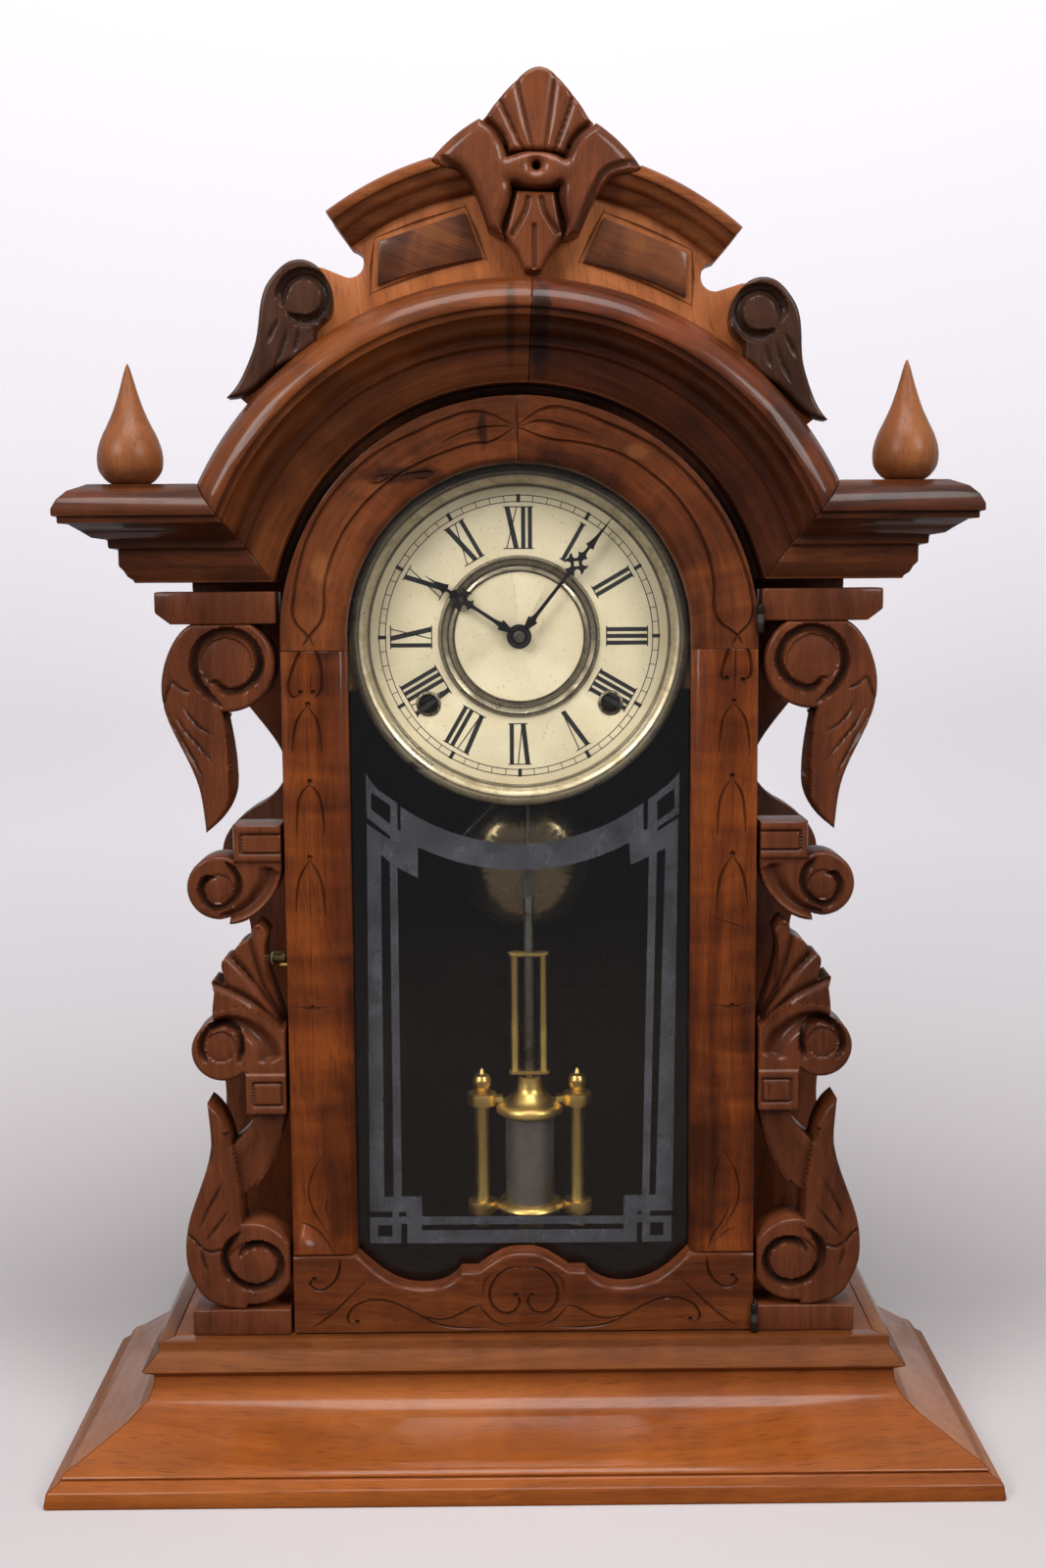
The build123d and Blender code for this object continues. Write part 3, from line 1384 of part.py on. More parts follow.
click_x = ratchet_radius + click_gap + click_width / 2

with BuildPart() as great_wheels:
    for side in (-1, 1):
        x = side * winding_x
        gear(x, winding_z, great_teeth, great_module, great_y, great_y + train_gear_thickness,
             side * mesh_bearing + 180)
        board(x + click_x - click_width / 2, x + click_x + click_width / 2,
              great_y + train_gear_thickness, ratchet_y + ratchet_thickness,
              winding_z - click_length / 2, winding_z + click_length / 2)
        cylinder_y(x, winding_z, winding_arbor_radius + running_clearance, great_y,
                   great_y + train_gear_thickness, mode=Mode.SUBTRACT)


def spring_face():
    """Mainspring strip wound as an even spiral."""
    count = round(spring_turns * spring_steps_per_turn)
    gain = (spring_outer_radius - spring_inner_radius - spring_strip) / count
    step = 360 / spring_steps_per_turn
    inner = [bearing(i * step, spring_inner_radius + i * gain) for i in range(count + 1)]
    outer = [bearing(i * step, spring_inner_radius + spring_strip + i * gain) for i in range(count + 1)]
    with BuildLine() as strip:
        Spline(*inner)
        Line(inner[-1], outer[-1])
        Spline(*outer)
        Line(outer[0], inner[0])
    make_face(strip.edges())


with BuildPart() as mainspring_right:
    with BuildSketch(front(spring_y + spring_width, winding_x, winding_z)):
        spring_face()
    extrude(amount=spring_width)

with BuildPart() as mainsprings:
    add(mainspring_right.part)
    mirror(mainspring_right.part, about=Plane.YZ)

with BuildPart() as train_wheels:
    second_y = plate_inner_y + second_set
    centre_y = plate_inner_y + centre_set
    third_y = plate_inner_y + third_set
    thin = train_gear_thickness
    for x, z in (second_centre, third_centre, strike_centre, strike_third):
        cylinder_y(x, z, train_arbor_radius, movement_y, movement_back_y)
    for side, (x, z) in ((1, second_centre), (-1, strike_centre)):
        gear(x, z, second_teeth, train_module, second_y, second_y + thin)
        gear(x, z, great_pinion_teeth, great_module, great_y - motion_layer_gap,
             great_y + thin + motion_layer_gap, side * mesh_bearing + 180 / great_pinion_teeth)
    gear(0, arch_z, centre_teeth, train_module, centre_y, centre_y + thin)
    cylinder_y(0, arch_z, pipe_radius, second_y + thin + motion_layer_gap, centre_y)
    cylinder_y(0, arch_z, arbor_radius + running_clearance, second_y, centre_y + thin, mode=Mode.SUBTRACT)
    gear(third_centre[0], third_centre[1], third_teeth, train_module, third_y, third_y + thin)
    gear(strike_third[0], strike_third[1], third_teeth, train_module, third_y, third_y + thin)

# Escape wheel, verge and crutch
escape_front_y = escape_back_y - escape_thickness

with BuildPart() as escape_wheel:
    root_radius = escape_radius - escape_tooth_depth
    with BuildSketch(front(escape_back_y, *escape_centre)):
        points = []
        for tooth in range(escape_teeth):
            turn = 360 * tooth / escape_teeth
            tip = degrees(escape_tooth_tip / 2 / escape_radius)
            root = degrees(escape_tooth_root / 2 / root_radius)
            points.append(bearing(turn - root, root_radius))
            points.append(bearing(turn - tip, escape_radius))
            points.append(bearing(turn + tip, escape_radius))
            points.append(bearing(turn + root, root_radius))
        points_face(points)
        Circle(root_radius - escape_rim, mode=Mode.SUBTRACT)
        with PolarLocations(0, escape_spokes):
            Rectangle(2 * root_radius - escape_rim, escape_rim)
        Circle(escape_hub_radius)
    extrude(amount=escape_thickness)
    cylinder_y(escape_centre[0], escape_centre[1], train_arbor_radius, escape_front_y, movement_back_y)

pallet_angle = 180 * pallet_span_teeth / escape_teeth
verge_back_y = escape_back_y + (verge_width - escape_thickness) / 2
verge_front_y = verge_back_y - verge_width
crutch_y = verge_front_y - crutch_lead + 2 * running_clearance
crutch_z = pendulum_pivot_z - crutch_length

with BuildPart() as verge:
    with BuildSketch(front(verge_back_y, *escape_centre)):
        for side in (-1, 1):
            tip = bearing(side * pallet_angle, escape_radius - pallet_entry)
            heel = bearing(side * pallet_angle, escape_radius - pallet_entry + pallet_length)
            across = bearing(side * pallet_angle + 90, pallet_thickness / 2)
            points_face([
                (tip[0] - across[0], tip[1] - across[1]), (tip[0] + across[0], tip[1] + across[1]),
                (heel[0] + across[0], heel[1] + across[1]), (heel[0] - across[0], heel[1] - across[1]),
            ])
            neck = bearing(side * pallet_angle, escape_radius - pallet_entry + pallet_length - verge_strip)
            points_face([
                heel, neck, (side * verge_strip, verge_distance - verge_strip),
                (side * verge_strip, verge_distance + verge_strip),
            ])
        with Locations((0, verge_distance)):
            Circle(verge_hub_radius)
    extrude(amount=verge_width)
    cylinder_y(pendulum_x, pendulum_pivot_z, verge_hub_radius, crutch_y - crutch_radius, verge_front_y)
    with BuildSketch(Plane.XY.offset(crutch_z)):
        with Locations((pendulum_x, crutch_y)):
            Circle(crutch_radius)
    extrude(amount=crutch_length)
    with BuildSketch(Plane.YZ.offset(pendulum_x - fork_half_gap)):
        with Locations((crutch_y, crutch_z)):
            Circle(crutch_radius)
    extrude(amount=2 * fork_half_gap)
    for side in (-1, 1):
        cylinder_y(pendulum_x + side * fork_half_gap, crutch_z, crutch_radius, crutch_y - fork_length,
                   crutch_y)
    cylinder_y(pendulum_x, pendulum_pivot_z, verge_pin_radius + running_clearance,
               cannon_front_y - hinge_clearance, verge_back_y, mode=Mode.SUBTRACT)

# Pendulum: hanging strip, leader with its loop round the centre pipe, hook and rod
hook_top_z = pendulum_pivot_z - hook_drop
hook_bottom_z = hook_top_z - hook_height
grid_top_z = pendulum_pivot_z - grid_top_drop
grid_bottom_z = pendulum_pivot_z - grid_bottom_drop
cap_top_z = pendulum_pivot_z - cap_top_drop
cap_bottom_z = pendulum_pivot_z - cap_bottom_drop
cylinder_bottom_z = pendulum_pivot_z - cylinder_bottom_drop
loop_top_z = pendulum_pivot_z - leader_loop_top
loop_bottom_z = loop_top_z - leader_loop_height
leader_top_z = pendulum_pivot_z - hanging_drop - leader_block_height


def upright(radius, z0, z1, x=pendulum_x, mode=Mode.ADD):
    """Upright round bar of the pendulum between two heights."""
    with BuildSketch(Plane.XY.offset(z0)) as bar:
        with Locations((x, pendulum_y)):
            Circle(radius)
    extrude(bar.sketch, amount=z1 - z0, mode=mode)


def pendulum_block(half_width, depth, z0, z1):
    """Flat block of the pendulum, centred on its plane."""
    board(pendulum_x - half_width, pendulum_x + half_width, pendulum_y - depth / 2, pendulum_y + depth / 2,
          z0, z1)


with BuildPart() as pendulum_rod:
    pendulum_block(hanging_strip / 2, hanging_strip_width, pendulum_pivot_z - hanging_drop,
                   stud_top_z + hanging_play + hanging_pin_radius)
    with BuildSketch(Plane.YZ.offset(pendulum_x - hanging_pin_length / 2)):
        with Locations((pendulum_y, stud_top_z + hanging_play + hanging_pin_radius)):
            Circle(hanging_pin_radius)
    extrude(amount=hanging_pin_length)
    pendulum_block(leader_block_width / 2, hanging_strip_width, leader_top_z,
                   pendulum_pivot_z - hanging_drop)
    upright(leader_radius, loop_top_z - leader_radius, leader_top_z)
    upright(leader_radius, hook_top_z - hook_notch_height, loop_bottom_z + leader_radius)
    with BuildSketch(front(pendulum_y + leader_radius, pendulum_x, (loop_top_z + loop_bottom_z) / 2)):
        outer_width = leader_loop_half_width + leader_radius
        RectangleRounded(2 * outer_width, leader_loop_height, leader_loop_half_width / 2)
        RectangleRounded(2 * outer_width - 4 * leader_radius, leader_loop_height - 4 * leader_radius,
                         leader_loop_half_width / 2 - leader_radius, mode=Mode.SUBTRACT)
    extrude(amount=2 * leader_radius)
    with BuildSketch(front(pendulum_y + hook_thickness / 2, pendulum_x, hook_bottom_z)):
        points_face([
            (-rod_radius, 0), (rod_radius, 0), (hook_half_width, hook_height / 3),
            (hook_half_width, hook_height), (-hook_half_width, hook_height),
            (-hook_half_width, hook_height / 3),
        ])
        with Locations((0, hook_height - hook_notch_height / 2)):
            Rectangle(2 * hook_notch_half_width, hook_notch_height, mode=Mode.SUBTRACT)
    extrude(amount=hook_thickness)
    upright(rod_radius, cap_top_z, hook_bottom_z)

with BuildPart() as bob_frame:
    for z in (grid_top_z - grid_plate_thickness, grid_bottom_z):
        with BuildSketch(Plane.XY.offset(z)):
            with Locations((pendulum_x, pendulum_y)):
                SlotOverall(2 * grid_plate_half_width, grid_plate_depth)
                Circle(rod_radius + hinge_clearance, mode=Mode.SUBTRACT)
        extrude(amount=grid_plate_thickness)
    for side in (-1, 1):
        upright(grid_rod_radius, grid_bottom_z, grid_top_z - grid_plate_thickness / 2,
                pendulum_x + side * grid_rod_offset)

    cap_height = cap_top_z - cap_bottom_z
    cap_points = [(u * cap_neck_radius, cap_top_z - v * cap_height) for u, v in cap_profile_shares]
    turned(pendulum_x, pendulum_y, [(0, cap_top_z)] + cap_points + [(0, cap_bottom_z)])
    disc_top = cylinder_bottom_z
    disc_bottom = disc_top - foot_disc_height
    disc_points = [
        (u * cap_rim_radius, disc_top - v * foot_disc_height) for u, v in foot_disc_profile_shares
    ]
    turned(pendulum_x, pendulum_y, [(0, disc_top)] + disc_points + [(0, disc_bottom)])
    upright(bob_nut_radius, disc_bottom - bob_nut_height, disc_bottom)
    upright(tail_radius, disc_bottom - bob_nut_height - tail_length, disc_bottom)

    ear_z = pendulum_pivot_z - ear_drop
    for side in (-1, 1):
        x = pendulum_x + side * pillar_offset_x
        low_ear = disc_bottom + (foot_disc_height - ear_height) / 2
        upright(side_pillar_radius, low_ear, ear_z, x)
        for z in (ear_z - ear_height / 2, low_ear):
            upright(ear_radius, z, z + ear_height, x)
            with BuildSketch(Plane.XY.offset(z + ear_height / 4)):
                with Locations((pendulum_x + side * (pillar_offset_x + cap_rim_radius) / 2, pendulum_y)):
                    Rectangle(pillar_offset_x - cap_rim_radius + ear_radius, ear_height)
            extrude(amount=ear_height / 2)
        upright(side_nut_radius, low_ear - side_nut_height, low_ear, x)
        acorn_z = ear_z + ear_height / 2
        acorn = [(u * acorn_radius, acorn_z + v * acorn_height) for u, v in acorn_profile_shares]
        turned(x, pendulum_y, [(0, acorn_z)] + acorn + [(0, acorn_z + acorn_height)])

with BuildPart() as bob_cylinder:
    upright(cylinder_radius, cylinder_bottom_z, cap_bottom_z)

# Bell on its post, and the hammer
with BuildPart() as bell:
    outer = [(u * bell_radius, bell_rim_y - v * bell_depth) for u, v in bell_profile_shares]
    inner = [(u * (bell_radius - bell_wall), bell_rim_y - v * (bell_depth - bell_wall))
             for u, v in bell_profile_shares]
    turned_y(bell_x, bell_z, outer + [(0, bell_apex_y), (0, bell_apex_y + bell_wall)] + inner[::-1])
    cylinder_y(bell_x, bell_z, bell_post_radius, bell_apex_y, back_board_y)
    with BuildSketch(front(bell_apex_y + bell_wall / 2, bell_x, bell_z)):
        RegularPolygon(bell_nut_radius, 6)
    extrude(amount=bell_nut_height)

strike = bearing(hammer_strike_bearing, bell_radius + hammer_head_radius + hammer_gap)
head = (bell_x + strike[0], bell_z + strike[1])
hammer_z = arch_z - hammer_drop
knee = (hammer_x - hammer_knee_x, hammer_z - hammer_knee_drop)
wire_y = plate_inner_y + hammer_wire_set

with BuildPart() as hammer:
    cylinder_y(hammer_x, hammer_z, train_arbor_radius, movement_y, movement_back_y)
    cylinder_y(hammer_x, hammer_z, hammer_hub_radius, wire_y - hammer_hub_radius, wire_y + hammer_hub_radius)
    for first, second in (((hammer_x, hammer_z), knee), (knee, head)):
        with BuildSketch(Plane(
            origin=(first[0], wire_y, first[1]), x_dir=(0, 1, 0),
            z_dir=(second[0] - first[0], 0, second[1] - first[1]),
        )):
            Circle(hammer_wire_radius)
        extrude(amount=hypot(second[0] - first[0], second[1] - first[1]))
        with BuildSketch(front(wire_y, *second)):
            Circle(hammer_wire_radius)
        extrude(amount=hammer_wire_radius, both=True)
    cylinder_y(head[0], head[1], hammer_head_radius, wire_y - hammer_head_length / 2,
               wire_y + hammer_head_length / 2)

# Everything in one table, written as one file for each node
pieces = {
    "base_moulding": base_moulding,
    "base_floor": base_floor,
    "case_side_left": case_side_left,
    "case_side_right": case_side_right,
    "case_arch": case_arch,
    "back_board": back_board,
    "case_battens": case_battens,
    "hood_board": hood_board,
    "shoulder_boards": shoulder_boards,
    "cornice_left": cornice_left,
    "cornice_right": cornice_right,
    "arch_moulding_left": arch_moulding_left,
    "arch_moulding_right": arch_moulding_right,
    "crest_board": crest_board,
    "crest_mouldings": crest_mouldings,
    "crest_panels": crest_panels,
    "crest_cartouche": crest_cartouche,
    "crest_leaves": crest_leaves,
    "crest_volute_left": crest_volute_left,
    "crest_volute_right": crest_volute_right,
    "finials": finials,
    "bracket_left": bracket_left,
    "bracket_right": bracket_right,
    "bracket_blocks": bracket_blocks,
    "rear_wings": rear_wings,
    "door_arch_left": door_arch_left,
    "door_arch_right": door_arch_right,
    "door_stile_left": door_stile_left,
    "door_stile_right": door_stile_right,
    "door_bottom_rail": door_bottom_rail,
    "door_glass": door_glass,
    "door_hinge_leaves": door_hinge_leaves,
    "case_hinge_leaves": case_hinge_leaves,
    "latch_hook": latch_hook,
    "latch_fixings": latch_fixings,
    "latch_pin": latch_pin,
    "dial_pan": dial_pan,
    "dial_bezel": dial_bezel,
    "dial_rings": dial_rings,
    "hour_hand": hour_hand,
    "minute_hand": minute_hand,
    "hand_nut": hand_nut,
    "centre_arbor": centre_arbor,
    "minute_wheel": minute_wheel,
    "hour_wheel": hour_wheel,
    "front_plate": front_plate,
    "back_plate": back_plate,
    "movement_fixings": movement_fixings,
    "great_wheels": great_wheels,
    "mainsprings": mainsprings,
    "train_wheels": train_wheels,
    "time_winding_arbor": time_winding_arbor,
    "strike_winding_arbor": strike_winding_arbor,
    "escape_wheel": escape_wheel,
    "verge": verge,
    "pendulum_rod": pendulum_rod,
    "bob_frame": bob_frame,
    "bob_cylinder": bob_cylinder,
    "bell": bell,
    "hammer": hammer,
}
os.makedirs("parts", exist_ok=True)
for name, piece in pieces.items():
    piece.part.label = name
    export_step(piece.part, f"parts/{name}.step")
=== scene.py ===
import json
import math

import bmesh
import bpy
import numpy as np
from mathutils import Matrix, Vector
from mathutils.geometry import delaunay_2d_cdt

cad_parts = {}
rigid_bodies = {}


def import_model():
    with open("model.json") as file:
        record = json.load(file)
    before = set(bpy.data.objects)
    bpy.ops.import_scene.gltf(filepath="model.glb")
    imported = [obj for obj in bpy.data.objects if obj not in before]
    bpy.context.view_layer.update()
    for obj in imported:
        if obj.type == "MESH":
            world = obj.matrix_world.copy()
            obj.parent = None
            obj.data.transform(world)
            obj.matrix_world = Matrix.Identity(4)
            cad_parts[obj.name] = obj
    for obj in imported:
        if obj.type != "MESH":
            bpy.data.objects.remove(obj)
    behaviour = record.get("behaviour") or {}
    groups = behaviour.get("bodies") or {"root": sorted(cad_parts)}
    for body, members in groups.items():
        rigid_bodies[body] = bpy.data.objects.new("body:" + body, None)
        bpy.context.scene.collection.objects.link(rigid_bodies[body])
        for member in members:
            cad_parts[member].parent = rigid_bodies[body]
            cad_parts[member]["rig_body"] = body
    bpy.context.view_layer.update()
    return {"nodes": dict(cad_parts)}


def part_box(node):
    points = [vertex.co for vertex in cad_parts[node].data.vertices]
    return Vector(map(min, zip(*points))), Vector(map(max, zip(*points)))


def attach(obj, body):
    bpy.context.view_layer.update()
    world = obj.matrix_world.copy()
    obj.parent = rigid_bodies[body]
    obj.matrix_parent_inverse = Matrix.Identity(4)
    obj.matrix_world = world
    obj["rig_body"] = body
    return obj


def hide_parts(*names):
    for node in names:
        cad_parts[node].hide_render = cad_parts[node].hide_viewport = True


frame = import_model()
scene = bpy.context.scene

# Heights and depths that several pieces share; the arch, dial and hands have one centre
ARCH_UP = 372.0
ARCH_Z = ARCH_UP / 1000
DIAL_FACE_Y = -0.008
GLASS_BACK_Y = -0.0193
DOOR_FRONT_Y = -0.0313
DRILL_RADIUS = 0.0012
GOUGE_DIRT_AND_SHADE = 0.55
CREST_FACE = -34.0


# Lines cut in the door front, as (half width, points across and up in millimetres)
ARCH_SCARS = [
    (0.55, [(-64.6, 439.6), (-61.2, 438.9), (-57.7, 440.1), (-55.6, 442.0)]),
    (0.8, [(-54.9, 442.2), (-48.9, 442.6), (-43.3, 443.3), (-39.1, 443.8), (-35.2, 442.9)]),
    (0.5, [(-61.8, 441.9), (-57.4, 442.3), (-54.2, 443.0)]),
    (0.5, [(-45.4, 441.6), (-41.9, 440.9), (-38.0, 441.4)]),
]
ARCH_LINES = [
    (0.8, [(-0.7, 472.6), (-0.5, 463.0), (-0.2, 454.2)]),
    (0.8, [(-0.9, 462.9), (-16.9, 469.0), (-31.4, 465.8), (-43.6, 460.4), (-55.9, 454.7), (-66.7, 447.5),
           (-76.1, 438.5), (-83.9, 428.7), (-90.3, 417.3), (-94.8, 404.4), (-97.2, 392.2), (-97.9, 381.4),
           (-91.5, 372.9), (-89.2, 369.3)]),
    (0.8, [(-0.9, 462.9), (-11.6, 456.2), (-19.3, 455.5), (-31.5, 451.8), (-40.7, 448.1), (-51.5, 442.4),
           (-60.8, 435.4), (-70.2, 425.6), (-76.5, 416.5), (-81.3, 405.9), (-84.2, 395.2), (-85.3, 381.4),
           (-91.5, 372.9), (-94.2, 369.3)]),
    (0.8, [(-0.9, 462.9), (12.9, 470.6), (25.1, 469.0), (35.7, 464.9), (51.0, 458.1), (63.3, 450.5),
           (74.0, 440.6), (84.8, 427.7), (92.6, 413.9), (97.6, 401.7), (100.5, 390.9), (101.0, 380.1),
           (94.8, 372.5), (92.4, 369.0)]),
    (0.8, [(-0.9, 462.9), (12.1, 457.6), (26.6, 455.5), (35.7, 453.4), (44.9, 450.3), (55.6, 443.3),
           (66.4, 434.1), (74.1, 423.9), (80.3, 411.7), (84.2, 397.1), (85.9, 380.2), (94.8, 372.5),
           (97.2, 369.0)]),
    (0.7, [(-33.0, 456.0), (-22.3, 460.8), (-11.6, 462.7), (-3.2, 462.9)]),
    (0.7, [(1.4, 462.9), (7.5, 464.8), (20.5, 462.8), (31.5, 459.4)]),
]

LEFT_STILE_LINES = [
    (0.8, [(-91.5, 372.9), (-95.9, 366.0), (-99.5, 356.8), (-100.6, 350.6), (-99.1, 347.1), (-96.0, 348.2)]),
    (0.8, [(-91.5, 372.9), (-87.5, 364.4), (-86.1, 355.1), (-87.0, 348.9), (-89.4, 347.1)]),
    (0.5, [(-91.9, 366.5), (-92.6, 348.2)]),
    (0.7, [(-92.4, 343.0), (-88.9, 337.6), (-87.4, 330.6), (-86.6, 322.6)]),
    (0.7, [(-93.0, 343.0), (-96.9, 337.5), (-98.8, 330.5), (-99.6, 322.6)]),
    (0.4, [(-93.0, 338.3), (-92.9, 322.7)]),
    (0.7, [(-92.0, 309.0), (-88.5, 303.9), (-86.7, 294.4), (-86.1, 286.5)]),
    (0.7, [(-92.4, 309.0), (-96.3, 304.1), (-98.0, 294.3), (-98.6, 286.0)]),
    (0.4, [(-92.4, 303.0), (-92.6, 284.0)]),
    (0.7, [(-92.8, 275.0), (-89.4, 269.2), (-87.4, 261.9), (-86.5, 250.0)]),
    (0.7, [(-93.0, 275.0), (-96.6, 269.2), (-98.6, 261.9), (-99.4, 252.0)]),
    (0.45, [(-93.0, 268.0), (-93.2, 214.0)]),
    (0.45, [(-93.2, 203.5), (-93.2, 176.0)]),
    (0.55, [(-103.6, 209.3), (-92.8, 208.7), (-82.6, 209.0)]),
    (0.5, [(-103.0, 109.9), (-96.2, 108.4), (-89.1, 101.6), (-86.2, 95.6)]),
    (0.45, [(-95.9, 119.8), (-93.9, 113.6), (-89.7, 108.3)]),
    (0.4, [(-88.0, 121.0), (-88.8, 116.5), (-86.8, 111.3)]),
    (0.4, [(-90.6, 140.0), (-95.2, 131.0), (-96.4, 122.0), (-93.0, 113.0), (-88.2, 105.0)]),
]

RIGHT_STILE_LINES = [
    (0.8, [(94.8, 372.5), (90.6, 365.5), (88.4, 357.8), (88.2, 354.4), (90.0, 352.9)]),
    (0.8, [(94.4, 373.0), (97.1, 370.3), (99.4, 366.1), (100.6, 361.5), (100.7, 356.9), (99.7, 354.3),
           (97.8, 353.7)]),
    (0.5, [(94.2, 366.8), (93.8, 358.5), (93.6, 348.2)]),
    (0.7, [(93.0, 343.0), (89.3, 337.6), (87.8, 330.6), (87.0, 322.3)]),
    (0.7, [(93.8, 343.0), (97.8, 337.5), (99.8, 330.5), (100.5, 320.6)]),
    (0.4, [(93.5, 337.3), (93.3, 322.7)]),
    (0.7, [(92.6, 310.0), (88.7, 303.9), (86.9, 294.4), (86.5, 285.5)]),
    (0.7, [(93.2, 310.0), (96.9, 304.1), (98.5, 294.3), (98.9, 287.0)]),
    (0.4, [(93.0, 304.0), (93.2, 286.0)]),
    (0.7, [(93.0, 275.6), (89.2, 269.2), (87.2, 261.9), (86.4, 251.0)]),
    (0.7, [(93.6, 275.6), (97.4, 269.2), (99.2, 261.9), (100.1, 254.0)]),
    (0.45, [(93.3, 268.0), (93.5, 214.0)]),
    (0.45, [(93.6, 204.0), (93.4, 178.0)]),
    (0.55, [(82.5, 208.6), (93.6, 208.0), (103.2, 209.4)]),
    (0.35, [(83.0, 249.0), (93.0, 245.5), (103.6, 242.0)]),
    (0.5, [(83.4, 96.0), (85.2, 101.5), (89.6, 108.5), (94.0, 117.7)]),
    (0.4, [(85.9, 99.2), (91.1, 103.8), (97.4, 106.8)]),
    (0.4, [(90.4, 142.0), (95.6, 132.0), (97.2, 121.0), (93.4, 111.0), (88.0, 103.0)]),
    (0.4, [(88.6, 140.0), (86.4, 131.0), (85.6, 122.0)]),
]

RAIL_HALF_LINES = [
    (0.75, [(83.2, 93.0), (83.3, 87.5), (86.8, 80.7), (92.5, 78.0), (96.6, 81.1), (95.4, 83.6)]),
    (0.6, [(71.7, 82.1), (82.3, 71.1), (91.4, 63.1), (96.7, 59.9)]),
    (0.5, [(81.6, 71.4), (88.4, 67.1), (93.2, 66.0)]),
    (0.4, [(88.4, 69.5), (94.4, 66.3)]),
    (0.7, [(14.6, 59.6), (28.1, 59.6), (38.7, 61.3), (50.7, 67.5), (58.2, 71.3), (65.8, 73.1), (73.3, 71.9),
           (78.6, 68.0), (79.7, 63.3), (76.6, 61.2)]),
    (0.6, [(17.6, 70.1), (22.9, 69.3), (28.1, 66.6), (35.7, 63.7), (44.7, 64.8), (52.2, 67.4)]),
    (0.6, [(6.5, 59.8), (13.1, 62.3), (17.6, 66.7), (20.9, 70.9)]),
    (0.75, [(0.6, 88.3), (7.2, 87.1), (13.5, 81.4), (15.4, 74.8), (13.1, 68.9), (7.4, 66.3), (2.9, 69.0),
            (2.0, 72.6), (4.1, 75.2)]),
    (0.5, [(18.6, 75.6), (17.4, 81.6), (13.6, 86.0)]),
]
RAIL_LINES = (RAIL_HALF_LINES + [(w, [(-x, z) for x, z in line]) for w, line in RAIL_HALF_LINES]
              + [(0.5, [(-0.2, 84.6), (0.0, 71.4)])])

LEFT_DOTS = [(-95.5, 349.1), (-90.1, 349.1), (-92.4, 344.0), (-92.2, 310.2), (-92.9, 276.4), (-93.0, 208.9)]
RIGHT_DOTS = [(90.2, 354.2), (97.2, 353.4), (93.4, 344.2), (92.9, 311.4), (93.3, 276.8), (93.6, 208.4)]
RAIL_DOTS = [(94.6, 83.2), (75.6, 62.9), (3.6, 74.8), (-94.6, 83.2), (-75.6, 62.9), (-3.6, 74.8)]


# Shader building

def rgb(red, green, blue):
    def channel(c):
        c = c / 255
        return c / 12.92 if c <= 0.04045 else ((c + 0.055) / 1.055) ** 2.4
    return (channel(red), channel(green), channel(blue), 1.0)


def feed(tree, socket, value):
    if value is None:
        return
    if isinstance(value, bpy.types.NodeSocket):
        tree.links.new(value, socket)
    else:
        socket.default_value = value


def put(tree, kind, given=(), **settings):
    made = tree.nodes.new("ShaderNode" + kind)
    for name, value in settings.items():
        setattr(made, name, value)
    for socket, value in dict(given).items():
        feed(tree, made.inputs[socket], value)
    return made


def fill(tree, sockets, **values):
    for name, value in values.items():
        feed(tree, sockets[name.replace("_", " ")], value)


def calc(tree, operation, first, second=None, third=None, clamp=False):
    return put(tree, "Math", {0: first, 1: second, 2: third}, operation=operation, use_clamp=clamp).outputs[0]


def swing(tree, value, amount):
    return calc(tree, "MULTIPLY", calc(tree, "SUBTRACT", value, 0.5), amount)


def move_vector(tree, operation, first, second=None):
    made = put(tree, "VectorMath", {0: first, 1: second}, operation=operation)
    return made.outputs["Value" if operation == "LENGTH" else "Vector"]


def stretch(tree, vector, *scale):
    return move_vector(tree, "MULTIPLY", vector, scale)


def split(tree, vector):
    return put(tree, "SeparateXYZ", {0: vector}).outputs


def noise(tree, vector, scale, detail=3.0, roughness=0.5, distortion=0.0):
    return put(tree, "TexNoise", {"Vector": vector, "Scale": scale, "Detail": detail, "Roughness": roughness,
                                  "Distortion": distortion}).outputs["Fac"]


def spread(tree, value, low, high, new_low=0.0, new_high=1.0):
    return put(tree, "MapRange", {"Value": value, "From Min": low, "From Max": high, "To Min": new_low,
                                  "To Max": new_high}, clamp=True).outputs["Result"]


def tint(tree, share, under, over, blend="MIX"):
    return put(tree, "Mix", {0: share, 6: under, 7: over}, data_type="RGBA", blend_type=blend).outputs[2]


def mix_shaders(tree, share, first, second):
    return put(tree, "MixShader", {0: share, 1: first, 2: second}).outputs[0]


def new_group(name, takes, gives):
    tree = bpy.data.node_groups.new(name, "ShaderNodeTree")
    kinds = {"c": "NodeSocketColor", "v": "NodeSocketVector", "f": "NodeSocketFloat"}
    for label, kind, start in takes:
        socket = tree.interface.new_socket(label, in_out="INPUT", socket_type=kinds[kind])
        if start is not None:
            socket.default_value = start
    for label, kind in gives:
        tree.interface.new_socket(label, in_out="OUTPUT", socket_type=kinds[kind])
    return tree, tree.nodes.new("NodeGroupInput").outputs, tree.nodes.new("NodeGroupOutput").inputs


def use_group(tree, group, **values):
    made = tree.nodes.new("ShaderNodeGroup")
    made.node_tree = group
    fill(tree, made.inputs, **values)
    return made.outputs


def closed_corners(tree, distance):
    corner = put(tree, "AmbientOcclusion", {"Distance": distance}, samples=4, only_local=True)
    return spread(tree, corner.outputs["AO"], 0.8, 0.2)


# The second colour is the dark that grime and painted shade in corners and grooves turn the wood to.
DARK_PORE, DIRT_AND_SHADE_TONE = (28, 12, 5), (27, 12, 6)


